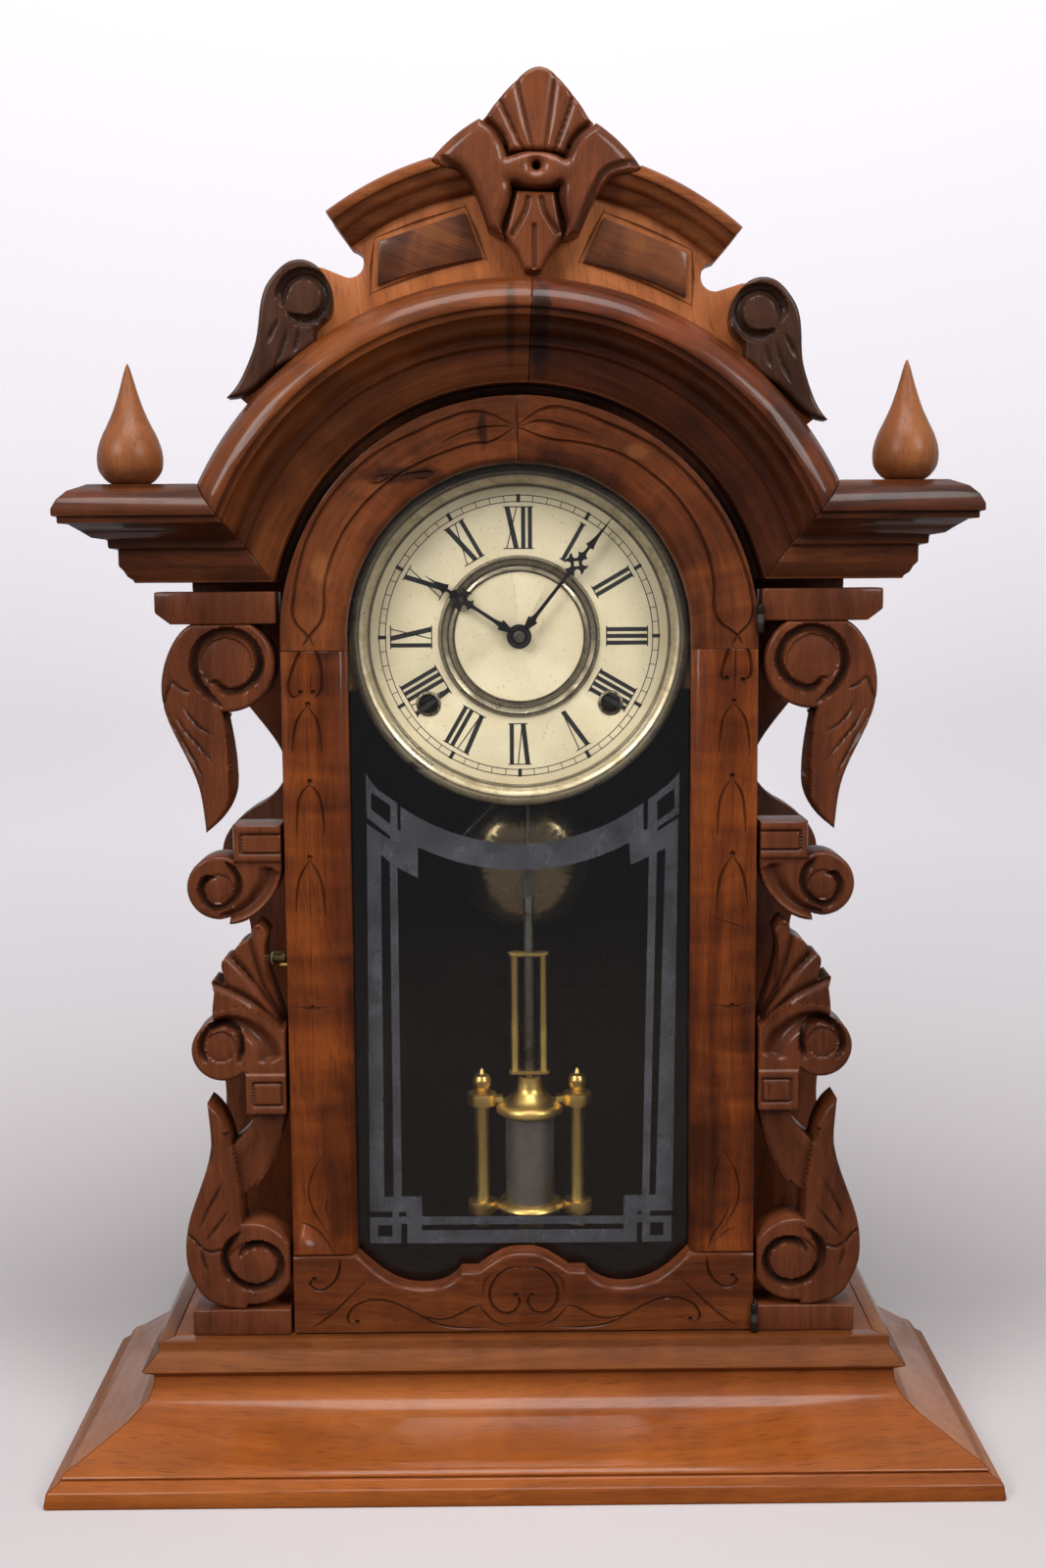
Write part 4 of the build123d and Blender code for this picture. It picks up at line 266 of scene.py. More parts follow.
def make_walnut_figure():
    tree, takes, gives = new_group(
        "walnut figure",
        [("Vector", "v", None), ("Light", "c", None), ("Mid", "c", None), ("Dark", "c", None),
         ("Streaks", "f", 40.0), ("Ripple", "f", 0.3), ("Figure", "f", 1.0)],
        [("Color", "c"), ("Height", "f")])
    vector = takes["Vector"]
    lean = swing(tree, noise(tree, stretch(tree, vector, 1, 1, 0.5), 9.0, 2.0), 0.035)
    shift = put(tree, "CombineXYZ", {0: lean, 1: lean})
    wandering = move_vector(tree, "ADD", vector, shift.outputs[0])
    drawn = stretch(tree, wandering, 1, 1, 0.055)
    broad = noise(tree, drawn, takes["Streaks"], 3.0, 0.55, 0.3)
    fine = noise(tree, drawn, calc(tree, "MULTIPLY", takes["Streaks"], 6.5), 3.0, 0.6)
    hair = noise(tree, stretch(tree, wandering, 1, 1, 0.03), 1300.0, 2.0, 0.6)
    pore_field = noise(tree, stretch(tree, wandering, 1, 1, 0.05), 1700.0, 1.0, 0.4)
    pores = spread(tree, pore_field, 0.60, 0.70)
    across = noise(tree, stretch(tree, vector, 0.3, 0.3, 1.0), 62.0, 2.0, 0.5, 0.6)
    ripple = swing(tree, across, takes["Ripple"])
    total = calc(tree, "MULTIPLY", broad, 0.62)
    total = calc(tree, "MULTIPLY_ADD", fine, 0.26, total)
    total = calc(tree, "MULTIPLY_ADD", hair, 0.12, total)
    total = calc(tree, "ADD", calc(tree, "SUBTRACT", total, 0.5), ripple)
    total = calc(tree, "ADD", calc(tree, "MULTIPLY", total, takes["Figure"]), 0.5)
    colour = tint(tree, spread(tree, total, 0.34, 0.5), takes["Dark"], takes["Mid"])
    colour = tint(tree, spread(tree, total, 0.5, 0.66), colour, takes["Light"])
    height = calc(tree, "MULTIPLY_ADD", fine, 0.5, calc(tree, "MULTIPLY", hair, 0.3))
    fill(tree, gives, Color=tint(tree, calc(tree, "MULTIPLY", pores, 0.32), colour, rgb(*DARK_PORE)),
         Height=calc(tree, "MULTIPLY_ADD", pores, -0.8, height))
    return tree


def make_polish_dirt_and_shade():
    tree, takes, gives = new_group(
        "old polish, dirt and painted shade",
        [("Color", "c", None), ("Vector", "v", None), ("Grime", "f", 1.0), ("Gloss", "f", 0.4),
         ("Shellac", "f", 0.3)],
        [("Color", "c"), ("Roughness", "f"), ("Coat", "f"), ("Height", "f")])
    # Dirt and painted shade: ambient occlusion darkens corners and creases, and the carve mark darkens grooves;
    # Grime scales both.
    carve = put(tree, "Attribute", attribute_name="carve").outputs["Fac"]
    dirt_and_shade = calc(tree, "MAXIMUM", calc(tree, "MULTIPLY", closed_corners(tree, 0.009), 0.9), carve)
    patch = noise(tree, takes["Vector"], 34.0, 4.0, 0.6)
    dirt_and_shade = calc(tree, "MULTIPLY", dirt_and_shade, spread(tree, patch, 0.25, 0.6, 0.55, 1.0))
    dirt_and_shade = calc(tree, "MULTIPLY", dirt_and_shade, takes["Grime"], clamp=True)
    mellow = spread(tree, patch, 0.3, 0.7, 0.86, 1.08)
    colour = tint(tree, 1.0, takes["Color"], mellow, "MULTIPLY")
    handled = noise(tree, takes["Vector"], 120.0, 3.0, 0.6)
    rough = calc(tree, "MULTIPLY_ADD", calc(tree, "SUBTRACT", handled, 0.5), 0.35, takes["Gloss"])
    clean = calc(tree, "SUBTRACT", 1.0, dirt_and_shade, clamp=True)
    fill(tree, gives, Color=tint(tree, dirt_and_shade, colour, rgb(*DIRT_AND_SHADE_TONE)),
         Roughness=calc(tree, "MULTIPLY_ADD", dirt_and_shade, 0.3, rough, clamp=True),
         Coat=calc(tree, "MULTIPLY", takes["Shellac"], clean, clamp=True),
         Height=calc(tree, "MULTIPLY", handled, 0.5))
    return tree


def make_aged_metal():
    tree, takes, gives = new_group(
        "aged metal",
        [("Vector", "v", None), ("Bright", "c", None), ("Dull", "c", None), ("Age", "f", 0.5),
         ("Patches", "f", 90.0), ("Polish", "f", 0.25)],
        [("Color", "c"), ("Roughness", "f"), ("Metallic", "f"), ("Height", "f")])
    patch = noise(tree, takes["Vector"], takes["Patches"], 5.0, 0.65, 0.4)
    spots = noise(tree, takes["Vector"], 900.0, 3.0, 0.6)
    grade = calc(tree, "ADD", patch, swing(tree, takes["Age"], 0.7))
    grade = calc(tree, "MULTIPLY_ADD", spots, 0.12, grade)
    old = spread(tree, grade, 0.42, 0.72)
    old = calc(tree, "MAXIMUM", old, calc(tree, "MULTIPLY", closed_corners(tree, 0.004), 0.7))
    fill(tree, gives, Color=tint(tree, old, takes["Bright"], takes["Dull"]),
         Roughness=calc(tree, "MULTIPLY_ADD", old, 0.32, takes["Polish"], clamp=True),
         Metallic=calc(tree, "SUBTRACT", 1.0, calc(tree, "MULTIPLY", old, 0.35)),
         Height=calc(tree, "MULTIPLY_ADD", spots, 0.5, calc(tree, "MULTIPLY", patch, 0.5)))
    return tree


WALNUT_FIGURE = make_walnut_figure()
POLISH_DIRT_AND_SHADE = make_polish_dirt_and_shade()
AGED_METAL = make_aged_metal()


def start_material(name):
    made = bpy.data.materials.new(name)
    made.use_nodes = True
    tree = made.node_tree
    return made, tree, tree.nodes["Principled BSDF"]


def object_coords(tree, turn=(0, 0, 0), move=(0, 0, 0)):
    place = put(tree, "Mapping", {"Vector": put(tree, "TexCoord").outputs["Object"], "Location": move,
                                  "Rotation": [math.radians(a) for a in turn]})
    return place.outputs["Vector"]


def bump(tree, shader, height, strength, distance):
    made = put(tree, "Bump", {"Strength": strength, "Distance": distance, "Height": height})
    fill(tree, shader.inputs, Normal=made.outputs["Normal"])


ALONG_Z = (0, 0, 0)
ALONG_X = (0, 90, 0)
ALONG_Y = (90, 0, 0)
ARCH_GRAIN_RADIUS = 0.13


def around_arch(tree):
    """Coordinates whose third axis runs round the arch, so that the grain follows it."""
    place = split(tree, object_coords(tree, move=(0, 0, -ARCH_Z)))
    flat = put(tree, "CombineXYZ", {"X": place["X"], "Z": place["Z"]})
    turned = calc(tree, "ARCTAN2", place["X"], place["Z"])
    return put(tree, "CombineXYZ", {
        "X": move_vector(tree, "LENGTH", flat.outputs[0]), "Y": place["Y"],
        "Z": calc(tree, "MULTIPLY", turned, ARCH_GRAIN_RADIUS)}).outputs[0]


def walnut(name, light, mid, dark, turn=ALONG_Z, move=(0, 0, 0), streaks=40.0, ripple=0.1, figure=1.0,
           grime_and_shade=1.0, gloss=0.42, coat_roughness=0.12, shine=0.14, coat=0.32, arched=False, wear_and_highlight=()):
    """Walnut with lighter or darker patches, worn places and a painted highlight: across, up, half width, half
    height in mm, amount and colour.
    """
    made, tree, shader = start_material(name)
    vector = around_arch(tree) if arched else object_coords(tree, turn, move)
    wood = use_group(tree, WALNUT_FIGURE, Vector=vector, Light=rgb(*light), Mid=rgb(*mid), Dark=rgb(*dark),
                     Streaks=streaks, Ripple=ripple, Figure=figure)
    colour = wood["Color"]
    for across, up, half_width, half_height, amount, shade in wear_and_highlight:
        place = object_coords(tree, move=(-across / 1000, 0, -up / 1000))
        ragged = calc(tree, "SUBTRACT", noise(tree, place, 120.0, 4.0, 0.65), 0.5)
        oval = move_vector(tree, "LENGTH", stretch(tree, place, 1000 / half_width, 0, 1000 / half_height))
        reach = calc(tree, "MULTIPLY_ADD", ragged, 1.6, oval)
        colour = tint(tree, spread(tree, reach, 0.55, 1.05, amount, 0.0), colour, rgb(*shade))
    finish = use_group(tree, POLISH_DIRT_AND_SHADE, Color=colour, Vector=vector, Grime=grime_and_shade, Gloss=gloss, Shellac=coat)
    fill(tree, shader.inputs, Base_Color=finish["Color"], Roughness=finish["Roughness"], Specular_IOR_Level=shine,
         Coat_Weight=finish["Coat"], Coat_Roughness=coat_roughness, Coat_IOR=1.48)
    bump(tree, shader, calc(tree, "ADD", wood["Height"], finish["Height"]), 0.35, 0.0002)
    return made


def metal(name, bright, dull, age=0.5, patches=90.0, polish=0.25, bump_strength=0.06, steps=0.0):
    """An aged metal; steps is the pitch of the painted shade rings, as between turned steps, round the dial's
    centre.
    """
    made, tree, shader = start_material(name)
    old = use_group(tree, AGED_METAL, Vector=object_coords(tree), Bright=rgb(*bright), Dull=rgb(*dull), Age=age,
                    Patches=patches, Polish=polish)
    colour = old["Color"]
    if steps:
        # Painted shade: dark rings as in the steps of turned metal.
        flat = stretch(tree, object_coords(tree, move=(0, 0, -ARCH_Z)), 1, 0, 1)
        turns = calc(tree, "MULTIPLY", move_vector(tree, "LENGTH", flat), 2 * math.pi / steps)
        shadow = spread(tree, calc(tree, "SINE", turns), 0.35, 0.95, 0.0, 0.8)
        colour = tint(tree, shadow, colour, rgb(30, 25, 18))
    fill(tree, shader.inputs, Base_Color=colour, Roughness=old["Roughness"], Metallic=old["Metallic"])
    bump(tree, shader, old["Height"], bump_strength, 0.00008)
    return made


base_front_wood = walnut(
    "base walnut front", (188, 106, 44), (162, 86, 32), (124, 60, 20), ALONG_X, streaks=34, figure=0.8, coat=0.5,
    wear_and_highlight=[(66.8, 36.0, 26, 20, 0.3, (120, 52, 16)), (-50.0, 30.0, 60, 14, 0.25, (190, 112, 48)),
          (0.0, 57.0, 190, 4, 0.3, (90, 46, 22))])
base_top_wood = walnut("base top walnut front", (156, 92, 46), (124, 68, 32), (84, 42, 20), ALONG_X,
                       streaks=34, figure=0.8, coat=0.5)
base_top_side_wood = walnut("base top walnut sides", (156, 96, 52), (124, 72, 38), (84, 46, 24), ALONG_Y,
                            streaks=34, figure=0.8, coat=0.5)
base_side_wood = walnut("base walnut sides", (188, 116, 62), (160, 94, 46), (122, 66, 28), ALONG_Y,
                        streaks=34, figure=0.8, coat=0.5)
stile_wood = walnut(
    "door walnut upright", (140, 70, 26), (104, 48, 17), (62, 25, 9), streaks=46, ripple=0.42,
    wear_and_highlight=[(84.0, 140.0, 9, 44, 0.55, (44, 16, 6)), (-84.0, 140.0, 9, 50, 0.45, (50, 20, 8)),
          (-84.0, 222.0, 8, 16, 0.3, (140, 70, 30))])
rail_wood = walnut("door walnut rail", (132, 70, 32), (100, 48, 20), (60, 26, 11), ALONG_X,
                   move=(0.3, 0, 0.1), streaks=52, ripple=0.2)
arch_wood_left = walnut(
    "door walnut arch left", (136, 74, 38), (106, 54, 25), (58, 27, 12), streaks=48, ripple=0.25, arched=True,
    wear_and_highlight=[(-85.4, 402.8, 5, 9, 0.55, (168, 104, 58)), (-50.0, 442.6, 20, 4.5, 0.7, (34, 16, 9)),
          (-15.3, 462.0, 2.6, 10, 0.75, (26, 11, 6)), (-66.0, 437.0, 10, 4, 0.4, (150, 84, 44))])
arch_wood_right = walnut(
    "door walnut arch right", (138, 74, 36), (106, 53, 24), (64, 29, 12), streaks=44, ripple=0.3, arched=True,
    wear_and_highlight=[(51.9, 452.0, 7, 4, 0.45, (160, 100, 58)), (30.0, 461.0, 12, 5, 0.35, (70, 30, 14))])
hood_wood = walnut("hood walnut", (132, 72, 38), (92, 46, 22), (48, 22, 11), ALONG_X,
                   streaks=44, ripple=0.15, coat=0.4)
# The lighter patch on this arch's upper left is a painted highlight.
hood_arch_left = walnut(
    "hood arch walnut left", (146, 80, 36), (104, 52, 22), (56, 26, 11), ripple=0.12, coat=0.4, arched=True,
    wear_and_highlight=[(-70.0, 493.0, 30, 14, 0.4, (156, 84, 36)), (-3.0, 506.0, 2.5, 20, 0.6, (40, 18, 10))])
hood_arch_right = walnut(
    "hood arch walnut right", (114, 55, 26), (82, 38, 18), (40, 17, 8), streaks=52, ripple=0.16, figure=1.1,
    coat=0.4, arched=True,
    wear_and_highlight=[(9.0, 503.0, 5, 22, 0.8, (20, 10, 7)), (112.5, 462.0, 12, 22, 0.55, (36, 16, 10)),
          (64.0, 500.0, 24, 8, 0.45, (134, 62, 28))])
case_wood = walnut("case walnut", (128, 72, 40), (92, 48, 25), (54, 27, 14), ripple=0.3)
crest_board_wood = walnut("crest board walnut", (214, 134, 80), (184, 108, 60), (136, 74, 38), (0, 8, 0),
                          streaks=60, figure=0.7, shine=0.25, coat=0.1)
crest_mould_wood = walnut("crest moulding walnut", (158, 92, 48), (126, 68, 34), (80, 40, 20), ALONG_X, streaks=50)
carved_wood = walnut("carved walnut", (142, 78, 42), (114, 60, 32), (78, 38, 19),
                     streaks=46, ripple=0.12, figure=0.8, grime_and_shade=1.1, coat=0.4)
volute_wood = walnut("dark carved walnut", (100, 64, 46), (76, 47, 34), (50, 29, 20), streaks=46, grime_and_shade=1.1)
bracket_wood = walnut("bracket walnut", (132, 72, 42), (104, 54, 30), (64, 30, 16),
                      streaks=42, ripple=0.12, figure=0.9, grime_and_shade=1.1, coat=0.36)
burl_wood = walnut("figured veneer", (136, 80, 44), (100, 56, 34), (60, 31, 19), (0, 70, 0),
                   streaks=60, ripple=0.5, coat=0.5)
finial_maple = walnut("finial wood", (170, 106, 62), (140, 82, 46), (102, 56, 30),
                      figure=0.7, gloss=0.4, coat_roughness=0.3, coat=0.3)
plain_board = walnut("plain board", (150, 108, 72), (122, 84, 54), (90, 60, 38), streaks=36, gloss=0.62, coat=0.0)
# Near-black painted shade for the inner faces of the case and the base board inside it.
inside_painted_shade = walnut("inside painted shade", (22, 11, 7), (16, 8, 5), (9, 5, 3),
                      streaks=36, gloss=0.8, shine=0.05, coat=0.0)

rim_nickel = metal("tarnished rim with painted shade rings", (226, 214, 182), (150, 134, 98), 0.5, 50.0, 0.24, steps=0.0047)
ring_nickel = metal("tarnished ring with painted shade rings", (168, 158, 134), (92, 80, 60), 0.5, 70.0, 0.2, steps=0.0026)
brass = metal("old brass", (202, 170, 98), (142, 108, 58), 0.3, 30.0, 0.32, 0.01)
works_brass = metal("works brass", (196, 160, 88), (140, 106, 60), 0.5, 50.0, 0.3)
steel = metal("bright steel", (104, 100, 92), (64, 58, 48), 0.5, 90.0, 0.26)
iron = metal("dark iron", (62, 53, 46), (36, 28, 23), 0.6, 120.0, 0.42)
blued = metal("blackened steel", (38, 34, 38), (24, 20, 20), 0.5, 140.0, 0.32)
bell_metal = metal("bell metal", (158, 142, 108), (104, 90, 64), 0.35, 14.0, 0.16, 0.01)
silvered = metal("silvered tube", (128, 122, 116), (78, 72, 66), 0.5, 40.0, 0.32)


def make_dial_paint():
    made, tree, shader = start_material("cream dial paint")
    vector = object_coords(tree, move=(0, 0, -ARCH_Z))
    stain = noise(tree, vector, 46.0, 5.0, 0.65)
    speck = noise(tree, vector, 700.0, 2.0, 0.5)
    rim = spread(tree, move_vector(tree, "LENGTH", stretch(tree, vector, 1, 0, 1)), 0.055, 0.070)
    colour = tint(tree, spread(tree, stain, 0.35, 0.75), rgb(212, 201, 170), rgb(200, 186, 150))
    colour = tint(tree, calc(tree, "MULTIPLY", rim, 0.3), colour, rgb(190, 172, 128))
    colour = tint(tree, spread(tree, speck, 0.66, 0.74, 0.0, 0.5), colour, rgb(150, 120, 84))
    fill(tree, shader.inputs, Base_Color=colour, Roughness=spread(tree, stain, 0.2, 0.8, 0.34, 0.5))
    bump(tree, shader, calc(tree, "ADD", stain, speck), 0.12, 0.0001)
    return made


def make_glass():
    made, tree, shader = start_material("window glass")
    fill(tree, shader.inputs, Base_Color=(1, 1, 1, 1), Roughness=0.0, IOR=1.45, Transmission_Weight=1.0)
    surface = mix_shaders(tree, put(tree, "LightPath").outputs["Is Shadow Ray"], shader.outputs["BSDF"],
                          put(tree, "BsdfTransparent").outputs["BSDF"])
    fill(tree, tree.nodes["Material Output"].inputs, Surface=surface)
    return made


dial_cream = make_dial_paint()
clear_glass = make_glass()


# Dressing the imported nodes

def pick(obj):
    bpy.ops.object.select_all(action="DESELECT")
    obj.select_set(True)
    bpy.context.view_layer.objects.active = obj


def add_object(name, data):
    made = bpy.data.objects.new(name, data)
    scene.collection.objects.link(made)
    return made


def to_mesh(obj):
    pick(obj)
    bpy.ops.object.convert(target="MESH")
    return bpy.context.object


def stand_up(obj, y):
    """Turns a piece drawn lying flat upright, at this depth in the object."""
    obj.data.transform(Matrix.Translation((0, y, 0)) @ Matrix.Rotation(math.pi / 2, 4, "X"))


def copy_of(node_name, name):
    made = add_object(name, frame["nodes"][node_name].data.copy())
    made.data.name = name
    made.data.materials.clear()
    mesh = bmesh.new()
    mesh.from_mesh(made.data)
    bmesh.ops.remove_doubles(mesh, verts=mesh.verts, dist=2e-6)
    bmesh.ops.dissolve_limit(mesh, angle_limit=math.radians(0.1), verts=[], edges=mesh.edges)
    mesh.to_mesh(made.data)
    mesh.free()
    return made


def apply_all(obj):
    pick(obj)
    for modifier in list(obj.modifiers):
        bpy.ops.object.modifier_apply(modifier=modifier.name)


def ease_edges(obj, width, angle=38):
    bevel = obj.modifiers.new("eased edges", "BEVEL")
    bevel.width = width
    bevel.segments = 2
    bevel.limit_method = "ANGLE"
    bevel.angle_limit = math.radians(angle)
    bevel.use_clamp_overlap = True
    bevel.miter_outer = "MITER_ARC"
    apply_all(obj)


def smooth(obj, angle=32):
    pick(obj)
    bpy.ops.object.shade_smooth_by_angle(angle=math.radians(angle))


def settle(obj, body, slot, materials, *node_names):
    for material in materials:
        obj.data.materials.append(material)
    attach(obj, body)
    if node_names:
        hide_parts(*node_names)


def dress(node_name, name, slot, material, ease):
    made = copy_of(node_name, name)
    ease_edges(made, ease)
    smooth(made)
    settle(made, frame["nodes"][node_name]["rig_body"], slot, [material], node_name)


def make_gouge(name, lines, plane_y):
    """Round cutters along these lines, each thinner toward its two ends."""
    curve = bpy.data.curves.new(name, "CURVE")
    curve.dimensions = "3D"
    curve.twist_mode = "Z_UP"
    curve.bevel_depth = 0.001
    curve.bevel_resolution = 0
    curve.use_fill_caps = True
    curve.resolution_u = 5
    for half_width, points in lines:
        spline = curve.splines.new("BEZIER")
        last = len(points) - 1
        spline.bezier_points.add(last)
        for count, (point, (across, up)) in enumerate(zip(spline.bezier_points, points)):
            point.co = (across / 1000, up / 1000, 0)
            point.handle_left_type = point.handle_right_type = "AUTO"
            point.radius = half_width * (0.25 if count in (0, last) else 1.0)
    gouge = to_mesh(add_object(name, curve))
    stand_up(gouge, plane_y)
    return gouge


def add_drill_points(gouge, dots, plane_y):
    made = []
    for across, up in dots:
        bpy.ops.mesh.primitive_uv_sphere_add(segments=12, ring_count=8, radius=DRILL_RADIUS,
                                             location=(across / 1000, plane_y, up / 1000))
        made.append(bpy.context.object)
    pick(gouge)
    for drill in made:
        drill.select_set(True)
    bpy.ops.object.join()


def mark(mesh, value):
    """Tells the wood how much dirt and painted shade lies in these faces."""
    layer = mesh.attributes.new("carve", "FLOAT", "FACE")
    layer.data.foreach_set("value", [value] * len(mesh.polygons))


def cut_away(obj, gouge):
    mark(obj.data, 0.0)
    # The faces of the cut lines are darkened: dirt and painted shade.
    mark(gouge.data, GOUGE_DIRT_AND_SHADE)
    cut = obj.modifiers.new("gouged", "BOOLEAN")
    cut.operation = "DIFFERENCE"
    cut.solver = "EXACT"
    cut.use_self = True
    cut.object = gouge
    apply_all(obj)
    bpy.data.objects.remove(gouge)


def round_edges(obj, wanted, width):
    pick(obj)
    bpy.ops.object.mode_set(mode="EDIT")
    bpy.ops.mesh.select_mode(type="EDGE")
    bpy.ops.mesh.select_all(action="DESELECT")
    mesh = bmesh.from_edit_mesh(obj.data)
    for edge in mesh.edges:
        if len(edge.link_faces) == 2 and wanted(edge, *edge.link_faces):
            edge.select_set(True)
    bmesh.update_edit_mesh(obj.data)
    bpy.ops.mesh.bevel(offset=width, segments=4, profile=0.5, affect="EDGES", clamp_overlap=False)
    bpy.ops.object.mode_set(mode="OBJECT")


def front_edge(first, second, toward):
    """Whether an edge lies between the front and a side that looks this way."""
    for front, side in ((first, second), (second, first)):
        if front.normal.y < -0.98 and side.normal.dot(toward) > 0.15 and abs(side.normal.y) < 0.2:
            return True
    return False


def make_door_part(node_name, name, material, toward, lines, dots, roundness=0.0042):
    """A board of the door's frame, rounded toward the glass, with its cut lines and drilled dots."""
    made = copy_of(node_name, name)

    def wanted(edge, first, second):
        centre = (edge.verts[0].co + edge.verts[1].co) / 2
        return centre.y < -0.030 and front_edge(first, second, toward(centre))
    round_edges(made, wanted, roundness)
    ease_edges(made, 0.0005, 50)
    gouge = make_gouge(name + "_gouge", lines, DOOR_FRONT_Y)
    if dots:
        add_drill_points(gouge, dots, DOOR_FRONT_Y)
    cut_away(made, gouge)
    smooth(made, 30)
    settle(made, "door", "case_walnut", [material], node_name)


def toward_centre(centre):
    return (Vector((0, 0, ARCH_Z)) - Vector((centre.x, 0, centre.z))).normalized()


make_door_part("door_arch_left", "left_door_arch", arch_wood_left, toward_centre, ARCH_LINES + ARCH_SCARS, [])
make_door_part("door_arch_right", "right_door_arch", arch_wood_right, toward_centre, ARCH_LINES, [])
make_door_part("door_stile_left", "left_door_upright", stile_wood, lambda c: Vector((1, 0, 0)),
               LEFT_STILE_LINES, LEFT_DOTS)
make_door_part("door_stile_right", "right_door_upright", stile_wood, lambda c: Vector((-1, 0, 0)),
               RIGHT_STILE_LINES, RIGHT_DOTS)
make_door_part("door_bottom_rail", "shaped_door_rail", rail_wood, lambda c: Vector((0, 0, 1)),
               RAIL_LINES, RAIL_DOTS, 0.0026)


# Carved reliefs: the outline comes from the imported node, the front is a worked surface

def bend(path, steps=6):
    """A smooth line through the given points."""
    path = [np.array(p, float) for p in path]
    ends = [2 * path[0] - path[1], *path, 2 * path[-1] - path[-2]]
    found = []
    for a, b, c, d in zip(ends, ends[1:], ends[2:], ends[3:]):
        for t in np.arange(steps) / steps:
            found.append(0.5 * (2 * b + (c - a) * t + (2 * a - 5 * b + 4 * c - d) * t * t
                                + (3 * b - a - 3 * c + d) * t ** 3))
    found.append(path[-1])
    return np.array(found)


def along(points, path):
    """How far each point is from a line, and at what share of its length."""
    start, run = path[:-1], path[1:] - path[:-1]
    length = np.maximum(np.linalg.norm(run, axis=1), 1e-9)
    from_start = points[:, None, :] - start[None]
    share = np.clip((from_start * run[None]).sum(-1) / (length ** 2)[None], 0, 1)
    away = np.linalg.norm(from_start - share[..., None] * run[None], axis=-1)
    nearest = away.argmin(1)
    row = np.arange(len(points))
    walked = np.concatenate([[0], np.cumsum(length)])
    place = (walked[nearest] + share[row, nearest] * length[nearest]) / walked[-1]
    return away[row, nearest], place


def inside(points, starts, ends):
    """Which points lie within the loops whose edges run from starts to ends."""
    found = np.zeros(len(points), bool)
    x, z = points[:, 0], points[:, 1]
    for (x0, z0), (x1, z1) in zip(starts, ends):
        if z0 != z1:
            found ^= ((z0 > z) != (z1 > z)) & (x < (x1 - x0) * (z - z0) / (z1 - z0) + x0)
    return found


def within(points, outline):
    return inside(points, outline, outline[1:] + outline[:1])


def edge_distance(points, starts, ends):
    best = np.full(len(points), 1e9)
    run = ends - starts
    length = np.maximum((run ** 2).sum(1), 1e-9)
    for a, r, l in zip(starts, run, length):
        offset = points - a
        share = np.clip((offset @ r) / l, 0, 1)
        best = np.minimum(best, np.hypot(*(offset - share[:, None] * r).T))
    return best


def groove(points, path, width, depth, shape="V", end_width=None, taper=0.14, smooth_path=True):
    away, place = along(points, bend(path) if smooth_path else np.array(path, float))
    half = width + (0 if end_width is None else (end_width - width) * place)
    if taper:
        closing = np.clip(np.minimum(place, 1 - place) / taper, 0.02, 1) ** 0.6
        half, depth = half * closing, depth * closing
    reach = np.clip(1 - away / half, 0, 1)
    if shape == "U":
        reach = np.sqrt(np.clip(1 - (away / half) ** 2, 0, 1))
    if shape == "soft":
        reach = reach * reach * (3 - 2 * reach)
    return depth * reach


def score(points, low, dirt_and_shade, paths, width, depth, share, **how):
    """Cuts grooves along the paths and lays dirt and painted shade in them."""
    for path in paths:
        cut = groove(points, path, width, depth, **how)
        low = low + cut
        dirt_and_shade = np.maximum(dirt_and_shade, cut * share)
    return low, dirt_and_shade


def node_outline(node_name, back_y):
    """Closed loops of the node's flat back, in millimetres."""
    mesh = bmesh.new()
    mesh.from_mesh(frame["nodes"][node_name].data)
    bmesh.ops.remove_doubles(mesh, verts=mesh.verts, dist=2e-6)
    flat = {face for face in mesh.faces
            if face.normal.y > 0.99 and abs(face.calc_center_median().y - back_y) < 0.0003}
    follows = {}
    for face in flat:
        for loop in face.loops:
            if not any(other in flat for other in loop.edge.link_faces if other is not face):
                follows[loop.vert.index] = loop.link_loop_next.vert
    mesh.verts.ensure_lookup_table()
    loops = []
    while follows:
        first = next(iter(follows))
        loop, here = [], first
        while here in follows:
            co = mesh.verts[here].co
            loop.append((co.x * 1000, co.z * 1000))
            here = follows.pop(here).index
        loops.append(loop)
    mesh.free()
    return loops


def close_steps(loop, step):
    """The loop with points at most two steps apart."""
    found = []
    for (x0, z0), (x1, z1) in zip(loop, loop[1:] + loop[:1]):
        pieces = max(1, int(math.hypot(x1 - x0, z1 - z0) / step))
        found += [(x0 + (x1 - x0) * i / pieces, z0 + (z1 - z0) * i / pieces) for i in range(pieces)]
    return found


def sheet(points, edges):
    """Points and triangles that fill these edges, and the points that each one comes from."""
    made, _, faces, sources, _, _ = delaunay_2d_cdt([Vector(p) for p in points], edges, [], 0, 1e-5)
    return np.array([tuple(p) for p in made]), [f for f in faces if len(f) == 3], sources


def anticlockwise(points, a, b, c):
    one, other = points[b] - points[a], points[c] - points[a]
    return one[0] * other[1] - one[1] * other[0] > 0


